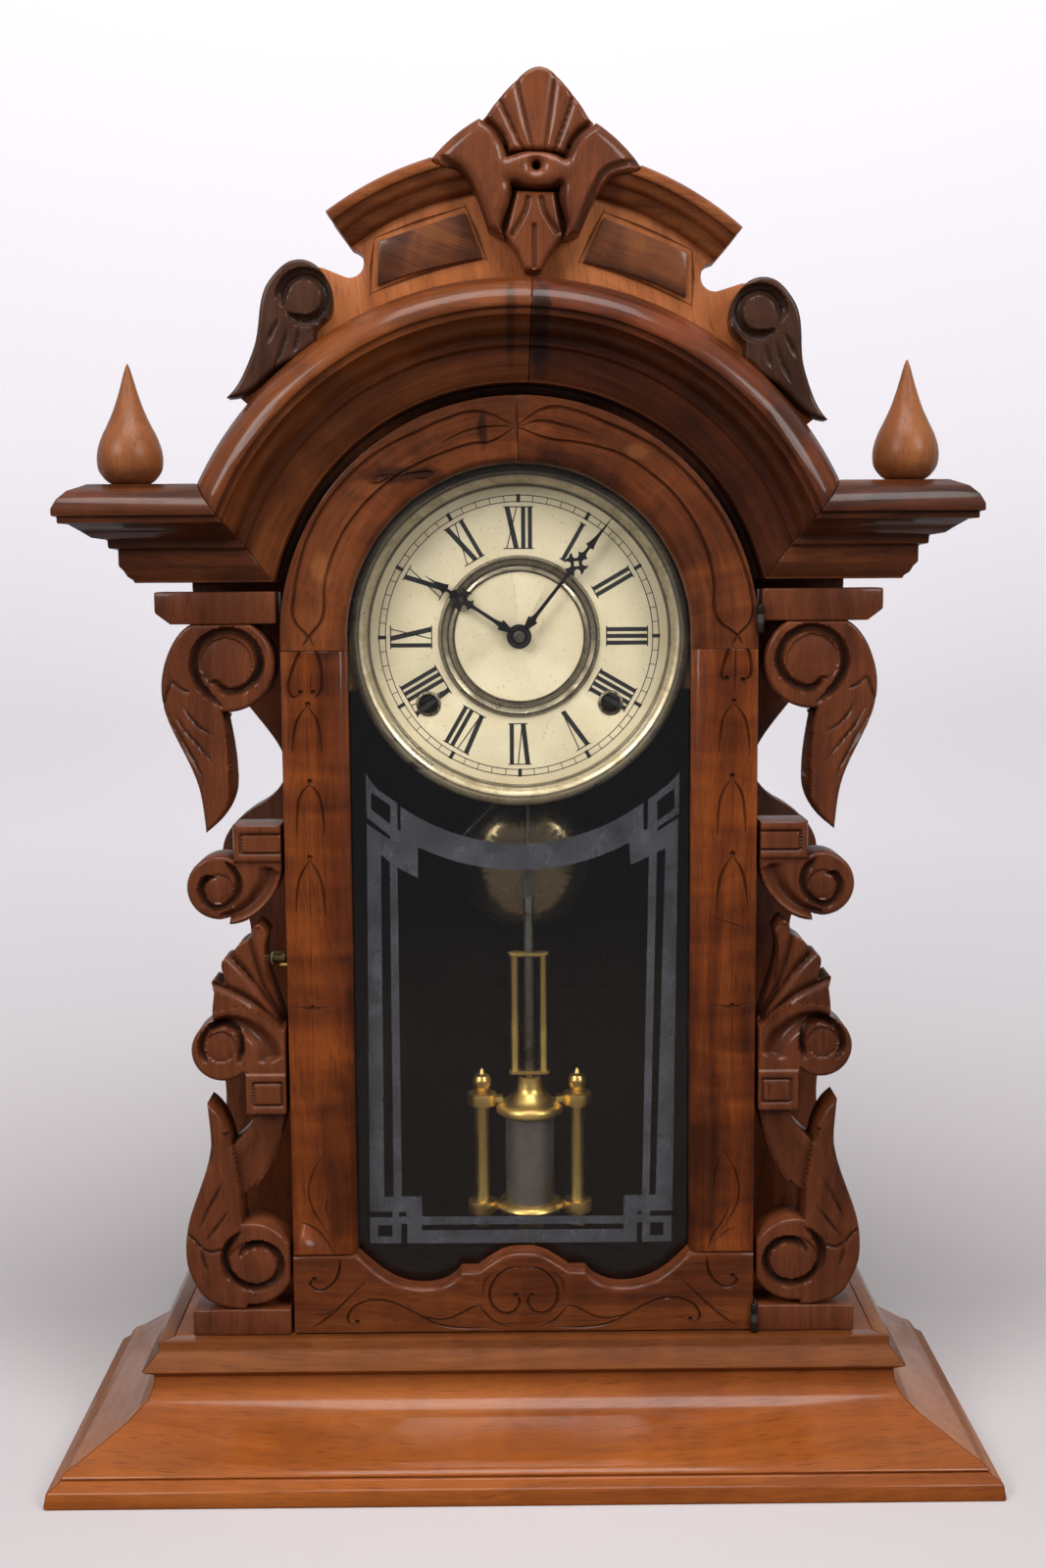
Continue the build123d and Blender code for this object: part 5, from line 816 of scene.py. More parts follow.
def carve_relief(node_name, name, front_y, back_y, surface, step, material):
    """A board with the node's outline whose front is lowered by surface(points, edge distance)."""
    step = step * 1.0
    loops = [close_steps(loop, step) for loop in node_outline(node_name, back_y / 1000)]
    border = np.array([p for loop in loops for p in loop])
    edges, first = [], 0
    for loop in loops:
        edges += [(first + i, first + (i + 1) % len(loop)) for i in range(len(loop))]
        first += len(loop)
    sides = border[[a for a, b in edges]], border[[b for a, b in edges]]
    low, high = border.min(0), border.max(0)
    columns = np.arange(low[0] - step, high[0] + step, step)
    rows = np.arange(low[1] - step, high[1] + step, step * 0.866)
    grid = np.array([(x + (step / 2 if i % 2 else 0), z) for i, z in enumerate(rows) for x in columns])
    grid = grid[inside(grid, *sides)]
    grid = grid[edge_distance(grid, *sides) > step * 0.35]
    made, faces, sources = sheet(np.concatenate([border, grid]), edges)
    triangles = np.array(faces)
    triangles = triangles[inside(made[triangles].mean(1), *sides)]
    is_border = np.array([any(i < len(border) for i in source) for source in sources])
    # The second value darkens grooves and hollows: dirt and painted shade.
    lowered, dirt_and_shade = surface(made, np.where(is_border, 0.0, edge_distance(made, *sides)))
    verts = [(x / 1000, (front_y + h) / 1000, z / 1000) for (x, z), h in zip(made, lowered)]
    turned = [(a, b, c) if anticlockwise(made, a, b, c) else (a, c, b) for a, b, c in triangles]
    runs = dict.fromkeys((a, b) for tri in turned for a, b in zip(tri, tri[1:] + tri[:1]))
    open_edges = [(a, b) for a, b in runs if (b, a) not in runs]
    back = {}
    for v in (v for edge in open_edges for v in edge):
        if v not in back:
            back[v] = len(verts)
            verts.append((made[v][0] / 1000, back_y / 1000, made[v][1] / 1000))
    walls = [(b, a, back[a], back[b]) for a, b in open_edges]
    rim = sorted(back)
    number = {v: i for i, v in enumerate(rim)}
    flat, back_faces, back_sources = sheet(made[rim], [(number[a], number[b]) for a, b in open_edges])
    backs = []
    for tri in back_faces:
        if inside(flat[list(tri)].mean(0)[None], *sides)[0]:
            a, b, c = [rim[back_sources[i][0]] for i in tri]
            b, c = (c, b) if anticlockwise(made, a, b, c) else (b, c)
            backs.append((back[a], back[b], back[c]))
    data = bpy.data.meshes.new(name)
    data.from_pydata(verts, [], [tuple(int(i) for i in t) for t in turned + walls + backs])
    layer = data.attributes.new("carve", "FLOAT", "POINT")
    layer.data.foreach_set("value", list(np.clip(dirt_and_shade, 0, 1)) + [0.0] * (len(verts) - len(made)))
    relief = add_object(name, data)
    smooth(relief, 48)
    settle(relief, frame["nodes"][node_name]["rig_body"], "carved_walnut", [material], node_name)


def rounded(away, width, depth):
    """How far a rounded border lowers the front at this distance from the edge."""
    reach = np.clip(1 - away / width, 0, 1)
    return depth * (1 - np.sqrt(np.clip(1 - reach ** 2, 0, 1)))


BRACKET_VEINS = [
    [(132.5, 330.1), (138.8, 333.3), (143.7, 338.6), (147.6, 345.2)],
    [(133.1, 316.5), (139.7, 325.1), (146.7, 333.6), (151.9, 342.8)],
    [(137.8, 304.7), (139.8, 313.6), (145.4, 325.0), (150.9, 335.0), (154.3, 342.8)],
    [(134.1, 130.1), (140.6, 118.4), (146.4, 106.6)],
    [(132.2, 116.3), (137.9, 108.2), (144.4, 100.0)],
    [(139.5, 150.4), (140.0, 141.7), (140.4, 135.9)],
    [(145.1, 97.8), (144.6, 92.0), (142.4, 86.0)],
]
BRACKET_COLLARS = [
    [(143.6, 349.4), (147.8, 351.2), (151.3, 354.8)],
    [(151.3, 354.8), (153.2, 349.9), (156.0, 343.0)],
    [(136.2, 97.4), (140.9, 96.2), (145.1, 97.8)],
    [(145.1, 97.8), (148.4, 102.0), (152.4, 105.4)],
]
BRACKET_FLUTES = [
    [(120.6, 243.0), (119.6, 234.0), (114.7, 217.0), (106.4, 201.6)],
    [(130.0, 232.8), (120.4, 221.4), (106.8, 200.6)],
    [(136.0, 219.4), (122.0, 212.2), (107.4, 199.4)],
]
TOP_SPIRAL = [(135.4, 353.4), (132.2, 354.0), (128.0, 349.8), (121.6, 350.4), (115.4, 355.3), (112.9, 362.4),
              (116.0, 370.8), (123.2, 375.4), (131.9, 375.0), (139.0, 370.2), (141.7, 362.7), (140.8, 356.0),
              (137.2, 350.0), (133.0, 345.8), (128.9, 342.6)]
MIDDLE_SPIRAL = [(134.6, 267.6), (138.6, 267.4), (141.2, 262.3), (138.9, 256.2), (133.6, 253.9), (127.8, 256.7),
                 (124.6, 263.0), (125.8, 269.7), (130.6, 275.0)]
FAN_SPIRAL = [(140.6, 183.4), (143.2, 190.9), (140.2, 198.4), (133.2, 201.6), (127.0, 198.7), (124.9, 191.5),
              (126.6, 183.0)]
LOW_SPIRAL = [(128.6, 93.0), (126.4, 97.0), (121.6, 99.7), (115.7, 98.9), (111.2, 95.0), (109.9, 88.8),
              (113.0, 82.3), (119.9, 79.4), (127.4, 80.9), (133.5, 86.6), (135.0, 94.8), (131.7, 101.4),
              (126.8, 106.0)]
STEM = [(128.9, 340.0), (127.7, 333.4), (123.9, 326.6), (116.8, 317.9), (111.2, 311.1), (106.6, 302.4),
        (104.0, 290.7), (122.1, 290.7), (123.5, 296.5), (126.7, 301.5), (127.6, 303.0), (127.2, 316.6),
        (127.6, 325.1), (128.4, 335.1)]
SHANK = [(104.0, 160.7), (108.1, 150.8), (113.5, 136.3), (120.7, 126.0), (126.5, 119.0), (127.4, 127.6),
         (129.0, 136.3), (130.7, 145.0), (134.0, 151.5), (124.6, 150.8), (120.3, 160.7)]
BLOCKS = [(274.9, 290.7, 126.6), (160.7, 178.6, 123.8)]
FAN = [(104, 198), (109.5, 200.2), (116.7, 206.2), (125.4, 208.9), (134.1, 207.6), (140, 206),
       (140, 226), (131, 238), (121, 246), (111, 244), (114.5, 231), (113, 222), (104, 205)]
BRACKET_DISCS = [(127.5, 361.8, 11.2), (133.3, 262.6, 6.6), (134.3, 191.0, 7.0), (122.4, 89.8, 11.2)]
UPPER_ARM = [(110.0, 272.0), (113.0, 263.5), (119.0, 256.0), (126.0, 251.5), (133.5, 250.2)]
LOWER_ARM = [(112.0, 184.0), (114.5, 192.0), (119.6, 197.8), (126.0, 201.6), (133.5, 202.6), (140.0, 199.0)]
BRACKET_FRONT, BRACKET_BACK, BRACKET_STEP = -31.3, -11.3, 0.85


def bracket_surface(points, away):
    """One side bracket, with the left one worked as the mirror image of the right."""
    mirrored = points * np.array([[math.copysign(1.0, points[:, 0].mean()), 1.0]])
    x, z = mirrored[:, 0], mirrored[:, 1]
    low = rounded(away, 1.6, 1.3)
    stem = within(mirrored, STEM)
    low = np.where(stem, 3.2 + 1.9 * np.clip((x - 110) / 17, 0, 1) + rounded(away, 1.4, 0.8), low)
    shank = within(mirrored, SHANK)
    across, _ = along(mirrored, np.array([(105.0, 162.0), (113.0, 145.0), (127.0, 128.0)]))
    low = np.where(shank, 4.6 - 1.6 * np.clip(across / 9, 0, 1) ** 2 + rounded(away, 1.4, 0.8), low)
    # The sunk stem and shank, the hollows, flutes and lines are darkened: dirt and painted shade.
    dirt_and_shade = np.where(stem | shank, 0.25, 0.0)
    root = np.hypot(x - 105.9, z - 200.0)
    fan = (z > 196) & (z < 250) & within(mirrored, FAN)
    low = np.where(fan, np.maximum(low, 3.6 * np.clip(1 - root / 40, 0, 1) + 0.9), low)
    for path in BRACKET_FLUTES:
        low = low + np.where(fan, groove(mirrored, path, 3.4, 1.9, "soft", taper=0.0)
                             + groove(mirrored, path, 0.9, 0.9, taper=0.0), 0)
        dirt_and_shade = np.maximum(dirt_and_shade, np.where(fan, groove(mirrored, path, 0.9, 0.8, taper=0.0), 0))
    for path, width, depth in ((TOP_SPIRAL, 1.9, 3.0), (MIDDLE_SPIRAL, 1.6, 2.8), (FAN_SPIRAL, 1.5, 2.8),
                               (LOW_SPIRAL, 1.9, 3.0)):
        hollow = groove(mirrored, path, width, depth, "U", taper=0.1)
        low = low + hollow
        dirt_and_shade = np.maximum(dirt_and_shade, hollow / depth * 0.9)
    for centre_x, centre_z, radius in BRACKET_DISCS:
        disc = np.hypot(x - centre_x, z - centre_z)
        low = low + np.where(disc < radius, 0.9 * (disc / radius) ** 3, 0)
    in_block = [(z > bottom) & (z < top) & (x < right) for bottom, top, right in BLOCKS]
    free = ~(in_block[0] | in_block[1])
    for path, width, depth, taper in ((UPPER_ARM, 6.5, 3.6, 0.05), (LOWER_ARM, 7.4, 4.2, 0.04)):
        cove = groove(mirrored, path, width, depth, "soft", end_width=2.4, taper=taper)
        low = low + np.where(free & ~fan, cove, 0)
        dirt_and_shade = np.maximum(dirt_and_shade, np.where(free, cove * 0.07, 0))
    low, dirt_and_shade = score(mirrored, low, dirt_and_shade, BRACKET_VEINS, 1.1, 1.1, 0.7, taper=0.35)
    low, dirt_and_shade = score(mirrored, low, dirt_and_shade, BRACKET_COLLARS, 1.0, 1.1, 0.8, taper=0.1)
    for block, (bottom, top, right) in zip(in_block, BLOCKS):
        inner = np.minimum(np.minimum(z - bottom, top - z), right - x)
        face = rounded(np.clip(inner, 0, 99), 0.7, 0.6) - 1.5
        frame_line = [(104.0, top - 3.8), (right - 3.6, top - 3.8), (right - 3.6, bottom + 3.6),
                      (104.0, bottom + 3.6)]
        if right < 125:
            frame_line = [(107.4, top - 3.8), (right - 3.8, top - 3.8), (right - 3.8, bottom + 3.8),
                          (107.4, bottom + 3.8), (107.4, top - 3.8)]
        line = groove(mirrored, frame_line, 0.9, 1.3, taper=0.0, smooth_path=False)
        low = np.where(block, face + line, low)
        dirt_and_shade = np.where(block, line * 0.6, dirt_and_shade)
    return low, dirt_and_shade


for side in ("left", "right"):
    carve_relief("bracket_" + side, side + "_scroll_bracket", BRACKET_FRONT, BRACKET_BACK, bracket_surface,
                 BRACKET_STEP, bracket_wood)

FINIAL_RINGS = [(6.0, 0.0), (8.4, 0.7), (10.9, 2.6), (13.3, 6.1), (13.95, 10.4), (13.5, 14.7), (11.8, 20.0),
                (9.2, 25.3), (6.8, 30.6), (4.9, 35.9), (3.3, 41.1), (1.9, 46.2), (0.8, 49.6), (0.25, 50.8)]


def turn_finial(name, across, along_y, bottom):
    rings = bend(FINIAL_RINGS, 3)
    bpy.ops.object.select_all(action="DESELECT")
    bpy.ops.mesh.primitive_circle_add(vertices=48, radius=rings[0][0] / 1000, fill_type="NGON",
                                      location=(across, along_y, bottom))
    finial = bpy.context.object
    finial.name = name
    bpy.ops.object.mode_set(mode="EDIT")
    bpy.ops.mesh.select_all(action="SELECT")
    for (radius, height), (wider, higher) in zip(rings, rings[1:]):
        bpy.ops.mesh.extrude_region_move(TRANSFORM_OT_translate={"value": (0, 0, (higher - height) / 1000)})
        bpy.ops.transform.resize(value=(wider / radius, wider / radius, 1),
                                 center_override=(across, along_y, bottom + higher / 1000))
    bpy.ops.mesh.select_all(action="SELECT")
    bpy.ops.mesh.normals_make_consistent(inside=False)
    bpy.ops.object.mode_set(mode="OBJECT")
    bpy.ops.object.transform_apply(location=True, rotation=True, scale=True)
    smooth(finial, 60)
    settle(finial, "case", "finial_wood", [finial_maple], "finials")


FINIAL_FOOT = 0.014
finial_low, finial_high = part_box("finials")
for side, across in (("left", finial_low[0] + FINIAL_FOOT), ("right", finial_high[0] - FINIAL_FOOT)):
    turn_finial(side + "_finial", across, (finial_low[1] + finial_high[1]) / 2, finial_low[2])

PALMETTE_LINES = [
    [(7.4, 572.0), (0.1, 603.0)], [(4.0, 572.0), (-7.4, 596.0)], [(11.5, 572.0), (16.1, 603.0)],
    [(15.0, 572.0), (23.8, 596.0)],
]
SHIELD_LINES = [
    [(-14.3, 585.8), (-9.6, 582.4), (-5.6, 576.7), (-2.5, 571.3)],
    [(-2.5, 571.3), (2.3, 573.3), (7.9, 573.9), (15.0, 572.9), (20.6, 570.0)],
    [(20.6, 570.0), (24.6, 576.1), (27.8, 579.9), (33.7, 583.7)],
    [(-32.3, 571.8), (-27.2, 568.7), (-21.7, 563.9), (-17.6, 556.0), (-14.6, 548.0), (-11.8, 540.0)],
    [(52.2, 568.8), (42.9, 567.8), (35.7, 564.0), (30.6, 554.7), (27.2, 546.0), (24.6, 540.6)],
    [(-7.0, 541.0), (-2.6, 549.2), (-1.5, 559.7), (3.0, 558.5), (7.8, 558.0), (14.2, 558.4), (18.7, 559.9),
     (18.9, 550.6), (21.3, 541.6)],
]


def shield_surface(points, away):
    low = rounded(away, 5.5, 4.0)
    side = np.abs(points[:, 0] - 8.0)
    low = low + 5.0 * np.clip((side - 16) / 30, 0, 1) ** 1.6
    low, dirt_and_shade = score(points, low, np.zeros(len(points)), SHIELD_LINES, 1.6, 1.0, 0.6, shape="U", taper=0.05)
    hole = np.clip(1 - np.hypot(points[:, 0] - 7.8, points[:, 1] - 567.4), 0, 1)
    return low + 1.2 * hole, np.maximum(dirt_and_shade, np.clip(hole * 3, 0, 1))


LEAF_TOP = 565
LEAF_LINES = [[(5.0, 556.3), (2.9, 548.6), (-2.7, 539.2)], [(10.0, 556.3), (12.1, 548.5), (17.6, 539.9)],
              [(7.2, 545.0), (7.2, 526.0)]]


def palmette_surface(points, away):
    """The fluted shell above and the small leaf below it."""
    low = rounded(away, 2.2, 1.8)
    dirt_and_shade = np.zeros(len(points))
    upper = points[:, 1] > LEAF_TOP
    for path in PALMETTE_LINES:
        soft = groove(points, path, 3.4, 0.8, "soft", taper=0.0, smooth_path=False)
        sharp = groove(points, path, 0.9, 0.9, taper=0.05, smooth_path=False)
        low = low + np.where(upper, soft + sharp, 0)
        dirt_and_shade = np.maximum(dirt_and_shade, np.where(upper, sharp * 0.7, 0))
    for path in LEAF_LINES:
        line = np.where(upper, 0, groove(points, path, 1.6, 1.5, taper=0.05))
        low = low + line
        dirt_and_shade = np.maximum(dirt_and_shade, line * 0.4)
    return low, dirt_and_shade


CREST_STEP = 0.6
carve_relief("crest_cartouche", "crest_shield", -50.0, CREST_FACE, shield_surface, CREST_STEP, carved_wood)
carve_relief("crest_leaves", "crest_palmette", -45.0, CREST_FACE, palmette_surface, CREST_STEP, carved_wood)

LEAN = math.radians(2.4)


def other_side(path):
    """The same line on the far side of the crest's leaning middle."""
    found = []
    for x, z in path:
        u = x * math.cos(LEAN) - (z - ARCH_UP) * math.sin(LEAN)
        v = x * math.sin(LEAN) + (z - ARCH_UP) * math.cos(LEAN)
        found.append((-u * math.cos(LEAN) + v * math.sin(LEAN), ARCH_UP + u * math.sin(LEAN) + v * math.cos(LEAN)))
    return found


CREST_FRAME = [[(-60.4, 540.8), (-41.0, 547.6), (-21.0, 553.8)], [(-21.8, 554.6), (-17.0, 543.6), (-12.4, 531.2)],
               [(-13.0, 532.4), (-37.0, 527.0), (-62.4, 518.0)], [(-60.0, 541.0), (-61.4, 530.0), (-62.0, 517.0)]]
crest_back = copy_of("crest_board", "crest_panel_board")
ease_edges(crest_back, 0.0007)
cut_away(crest_back, make_gouge("crest_gouge", [(0.75, path) for path in CREST_FRAME]
                                + [(0.75, other_side(path)) for path in CREST_FRAME], CREST_FACE / 1000))
smooth(crest_back)
settle(crest_back, "case", "carved_walnut", [crest_board_wood], "crest_board")

# Each volute's centre, the turn of its bowl in degrees, and its leaf lines
VOLUTE_DATA = {
    "left": ((-88.6, 514.8), (-140, 205), [
        [(-95.4, 503.6), (-97.0, 498.0), (-99.4, 491.5), (-102.6, 484.6)],
        [(-91.2, 502.4), (-92.0, 497.4), (-94.0, 491.4)], [(-99.2, 506.6), (-102.6, 500.6), (-104.6, 495.6)]]),
    "right": ((100.9, 507.5), (-25, 320), [
        [(107.6, 496.4), (109.2, 491.0), (111.8, 484.6), (115.2, 478.0)],
        [(103.4, 495.2), (104.4, 490.4), (106.6, 484.4)], [(111.4, 499.4), (114.6, 493.6), (116.8, 488.6)]]),
}


def volute_surface(side):
    centre, (first, last), lines = VOLUTE_DATA[side]
    bowl = [(centre[0] + 9.6 * math.cos(math.radians(a)), centre[1] + 9.6 * math.sin(math.radians(a)))
            for a in np.linspace(first, last, 48)]

    def surface(points, away):
        disc = np.hypot(points[:, 0] - centre[0], points[:, 1] - centre[1])
        hollow = groove(points, bowl, 2.6, 2.4, "U", taper=0.1, smooth_path=False)
        low = rounded(away, 1.8, 1.4) + hollow + np.where(disc < 9.6, 0.8 * (disc / 9.6) ** 3, 0)
        low = low + 1.6 * np.clip((centre[1] - 10 - points[:, 1]) / 24, 0, 1)
        return score(points, low, hollow / 2.4 * 0.8, lines, 1.3, 1.0, 0.7, taper=0.3)
    return surface


for side in ("left", "right"):
    carve_relief("crest_volute_" + side, side + "_crest_volute", -48.0, CREST_FACE, volute_surface(side),
                 CREST_STEP, volute_wood)

for node_name, name, slot, material, ease in [
        ("base_floor", "base_board", "plain_wood", inside_painted_shade, 0.0006),
        ("back_board", "rear_board", "plain_wood", plain_board, 0.0008),
        ("case_battens", "glue_battens", "plain_wood", plain_board, 0.0008),
        ("shoulder_boards", "shoulder_panels", "plain_wood", plain_board, 0.0006),
        ("case_side_left", "left_case_wall", "case_walnut", case_wood, 0.0008),
        ("case_side_right", "right_case_wall", "case_walnut", case_wood, 0.0008),
        ("case_arch", "arched_case_top", "case_walnut", case_wood, 0.0006),
        ("hood_board", "hood_panel", "case_walnut", case_wood, 0.0006),
        ("cornice_left", "left_cornice", "hood_walnut", hood_wood, 0.0007),
        ("cornice_right", "right_cornice", "hood_walnut", hood_wood, 0.0007),
        ("arch_moulding_left", "left_hood_arch", "hood_walnut", hood_arch_left, 0.0007),
        ("arch_moulding_right", "right_hood_arch", "hood_walnut", hood_arch_right, 0.0007),
        ("crest_mouldings", "crest_edge_mouldings", "carved_walnut", crest_mould_wood, 0.0006),
        ("crest_panels", "crest_veneers", "burl_panel", burl_wood, 0.0003),
        ("bracket_blocks", "bracket_feet_and_caps", "carved_walnut", bracket_wood, 0.0008),
        ("rear_wings", "rear_scroll_wings", "carved_walnut", bracket_wood, 0.0008),
        ("door_hinge_leaves", "hinge_leaves", "dark_iron", iron, 0.0002),
        ("latch_pin", "latch_stud", "brass_wire", brass, 0.0001),
        ("latch_hook", "wire_latch", "brass_wire", brass, 0.0001),
        ("dial_pan", "dial_plate", "dial_cream", dial_cream, 0.0001),
        ("dial_bezel", "dial_rim", "dial_rim_metal", rim_nickel, 0.0002),
        ("dial_rings", "dial_centre_ring", "dial_rim_metal", ring_nickel, 0.0001),
        ("hand_nut", "hand_pin_washer", "steel_parts", steel, 0.0001),
        ("bob_frame", "pendulum_brasswork", "bob_brass", brass, 0.0001),
        ("pendulum_rod", "pendulum_steel", "steel_parts", steel, 0.0001),
        ("hammer", "strike_hammer", "steel_parts", steel, 0.0001),
        ("bell", "bell_dome", "bell_metal", bell_metal, 0.0002)]:
    dress(node_name, name, slot, material, ease)

# Outside the case the base board shows as the top of the base
CASE_SIDE_X, CASE_FRONT_Y = 0.1035, -0.03
base_board = bpy.data.objects["base_board"]
base_board.data.materials.append(base_top_wood)
mesh = bmesh.new()
mesh.from_mesh(base_board.data)
for place, facing in (((-CASE_SIDE_X, 0, 0), (1, 0, 0)), ((CASE_SIDE_X, 0, 0), (1, 0, 0)),
                      ((0, CASE_FRONT_Y, 0), (0, 1, 0))):
    bmesh.ops.bisect_plane(mesh, geom=mesh.verts[:] + mesh.edges[:] + mesh.faces[:], plane_co=place,
                           plane_no=facing)
for face in mesh.faces:
    middle = face.calc_center_median()
    if abs(middle.x) > CASE_SIDE_X or middle.y < CASE_FRONT_Y:
        face.material_index = 1
mesh.to_mesh(base_board.data)
mesh.free()

# The case's inner faces get a near-black painted shade
for name in ("rear_board", "left_case_wall", "right_case_wall", "arched_case_top"):
    piece = bpy.data.objects[name]
    piece.data.materials.append(inside_painted_shade)
    for face in piece.data.polygons:
        inward = Vector((-face.center.x, 0, 0 if face.center.z < ARCH_Z else ARCH_Z - face.center.z))
        hidden = face.normal.y < -0.9 if name == "rear_board" else face.normal.dot(inward) > 0.3 * inward.length
        if hidden:
            face.material_index = 1

# The base is mitred at its front corners: front and side woods, each with its own top
LIP_X, LIP_Y, BASE_TOP_Z = 0.172, -0.044, 0.0405
base = copy_of("base_moulding", "stepped_base")
ease_edges(base, 0.0008, 30)
smooth(base)
settle(base, "case", "base_walnut", [base_front_wood, base_side_wood, base_top_wood, base_top_side_wood],
       "base_moulding")
for face in base.data.polygons:
    centre, turned = face.center, abs(face.normal.x) - abs(face.normal.y)
    sideways = abs(centre.x) - LIP_X > LIP_Y - centre.y
    face.material_index = int(turned > 0.02 or (abs(turned) <= 0.02 and sideways))
    face.material_index += 2 if centre.z > BASE_TOP_Z else 0

for material, node_names in [
        (clear_glass, ["door_glass"]), (silvered, ["bob_cylinder"]),
        (works_brass, ["minute_wheel", "hour_wheel", "front_plate", "back_plate", "great_wheels", "train_wheels",
                       "escape_wheel"]),
        (steel, ["centre_arbor", "movement_fixings", "mainsprings", "time_winding_arbor", "strike_winding_arbor",
                 "verge"])]:
    for node_name in node_names:
        mesh = frame["nodes"][node_name].data
        mesh.materials.clear()
        mesh.materials.append(material)


# Dial printing and the frosted border

def make_plates(name, outlines, y, thickness, material, slot):
    """Thin plates with these outlines, their backs at y."""
    mesh = bmesh.new()
    for outline in outlines:
        front = [mesh.verts.new((x / 1000, y - thickness, z / 1000)) for x, z in outline]
        back = [mesh.verts.new((x / 1000, y, z / 1000)) for x, z in outline]
        mesh.faces.new(front)
        mesh.faces.new(back[::-1])
        for i in range(len(front)):
            mesh.faces.new((front[i], front[i - 1], back[i - 1], back[i]))
    bmesh.ops.recalc_face_normals(mesh, faces=mesh.faces)
    data = bpy.data.meshes.new(name)
    mesh.to_mesh(data)
    mesh.free()
    settle(add_object(name, data), "case", slot, [material])


def bar(x0, z0, x1, z1, width):
    across = width / 2
    return [(x0 - across, z0), (x0 + across, z0), (x1 + across, z1), (x1 - across, z1)]


NUMERAL_LOW, NUMERAL_HIGH = 38.8, 57.6
THICK, THIN, SERIF = 1.9, 0.5, 0.5
STROKE_WIDTHS = {"I": 3.0, "V": 7.2, "X": 7.2}


def numeral_outlines(text):
    """Outlines of one numeral standing at twelve o'clock, its foot toward the dial's centre."""
    low, high = NUMERAL_LOW, NUMERAL_HIGH
    width = sum(STROKE_WIDTHS[letter] for letter in text)
    left = -width / 2
    found = []
    for letter in text:
        right = left + STROKE_WIDTHS[letter]
        middle = (left + right) / 2
        found += {
            "I": [bar(middle, low, middle, high, THICK)],
            "V": [bar(middle, low, left + 1.5, high, THICK * 1.15),
                  bar(middle + 0.4, low, right - 1.3, high, THIN)],
            "X": [bar(right - 1.5, low, left + 1.5, high, THICK * 1.2),
                  bar(left + 1.3, low, right - 1.3, high, THIN)]}[letter]
        left = right
    over = width / 2 + 0.15
    found.append([(-over, high - SERIF), (over, high - SERIF), (over, high), (-over, high)])
    if text != "V":
        first = over - (1.6 if text[0] == "V" else 0.0)
        last = over - (1.6 if text[-1] == "V" else 0.0)
        found.append([(-first, low), (last, low), (last, low + SERIF), (-first, low + SERIF)])
    return found


def turn_outline(outline, degrees, centre_z):
    a = math.radians(degrees)
    return [(x * math.cos(a) + r * math.sin(a), centre_z - x * math.sin(a) + r * math.cos(a))
            for x, r in outline]


def ring(inner, outer, count):
    found = []
    for step in range(count):
        first, last = (math.radians(360 / count * (step + i)) for i in (0, 1))
        found.append([(r * math.sin(b), ARCH_UP + r * math.cos(b)) for r, b in
                      ((inner, first), (inner, last), (outer, last), (outer, first))])
    return found


def dial_outlines():
    found = []
    for hour, text in enumerate(["XII", "I", "II", "III", "IIII", "V", "VI", "VII", "VIII", "IX", "X", "XI"]):
        for outline in numeral_outlines(text) + [[(-0.85, 59.3), (0.85, 59.3), (0.85, 63.0), (-0.85, 63.0)]]:
            found.append(turn_outline(outline, hour * 30, ARCH_UP))
    for minute in range(60):
        if minute % 5:
            found.append(turn_outline(bar(0, 59.7, 0, 62.5, 0.34), minute * 6, ARCH_UP))
    return found + ring(59.5, 59.9, 120) + ring(62.3, 62.7, 120) + ring(4.25, 5.5, 48)


def make_print_ink():
    made, tree, shader = start_material("dial printing black")
    worn = noise(tree, object_coords(tree), 260.0, 4.0, 0.7)
    black = tint(tree, spread(tree, worn, 0.6, 0.8), rgb(9, 9, 10), rgb(44, 39, 33))
    fill(tree, shader.inputs, Base_Color=black, Roughness=spread(tree, worn, 0.2, 0.8, 0.4, 0.6))
    return made


def flat_curve(name, outlines, half_thick):
    """A flat sheet with the first outline and the others as its holes, drawn lying down."""
    curve = bpy.data.curves.new(name, "CURVE")
    curve.dimensions = "2D"
    curve.fill_mode = "BOTH"
    curve.extrude = half_thick
    for outline in outlines:
        spline = curve.splines.new("POLY")
        spline.points.add(len(outline) - 1)
        for point, (across, up) in zip(spline.points, outline):
            point.co = (across / 1000, up / 1000, 0, 1)
        spline.use_cyclic_u = True
    return to_mesh(add_object(name, curve))


def hand_outline(cross, barb, tip, barb_width):
    """One side of a hand as (distance from the dial's centre, half width), hub first."""
    c = cross
    hub = [(-3.9 * math.cos(math.radians(a)), 3.9 * math.sin(math.radians(a))) for a in range(0, 160, 12)]
    return hub + [
        (4.2, 1.0), (6.4, 1.5), (8.6, 2.2), (9.9, 2.5), (10.1, 1.4), (11.6, 1.0), (13.4, 0.85), (c - 7.2, 0.75),
        (c - 5.4, 1.1), (c - 4.7, 2.7), (c - 3.6, 1.6), (c - 2.4, 1.3), (c - 1.8, 1.8), (c - 1.3, 2.4),
        (c - 1.6, 3.6), (c - 2.7, 4.7), (c - 1.2, 4.9), (c, 4.4), (c + 1.2, 4.9), (c + 2.7, 4.7),
        (c + 1.6, 3.6), (c + 1.3, 2.4), (c + 1.8, 1.8), (c + 2.4, 1.3), (c + 3.6, 1.6), (c + 4.7, 2.7),
        (c + 5.4, 1.1), (c + 6.6, 0.7), (barb - 0.6, 0.7), (barb, barb_width), (barb + 1.0, barb_width * 0.75),
        (barb + 2.8, barb_width * 0.55), (barb + 5.2, 0.8), (tip - 5.0, 0.45), (tip, 0.12)]


def circle(radius, count):
    return [(radius * math.cos(math.radians(a)), radius * math.sin(math.radians(a)))
            for a in range(0, 360, 360 // count)]


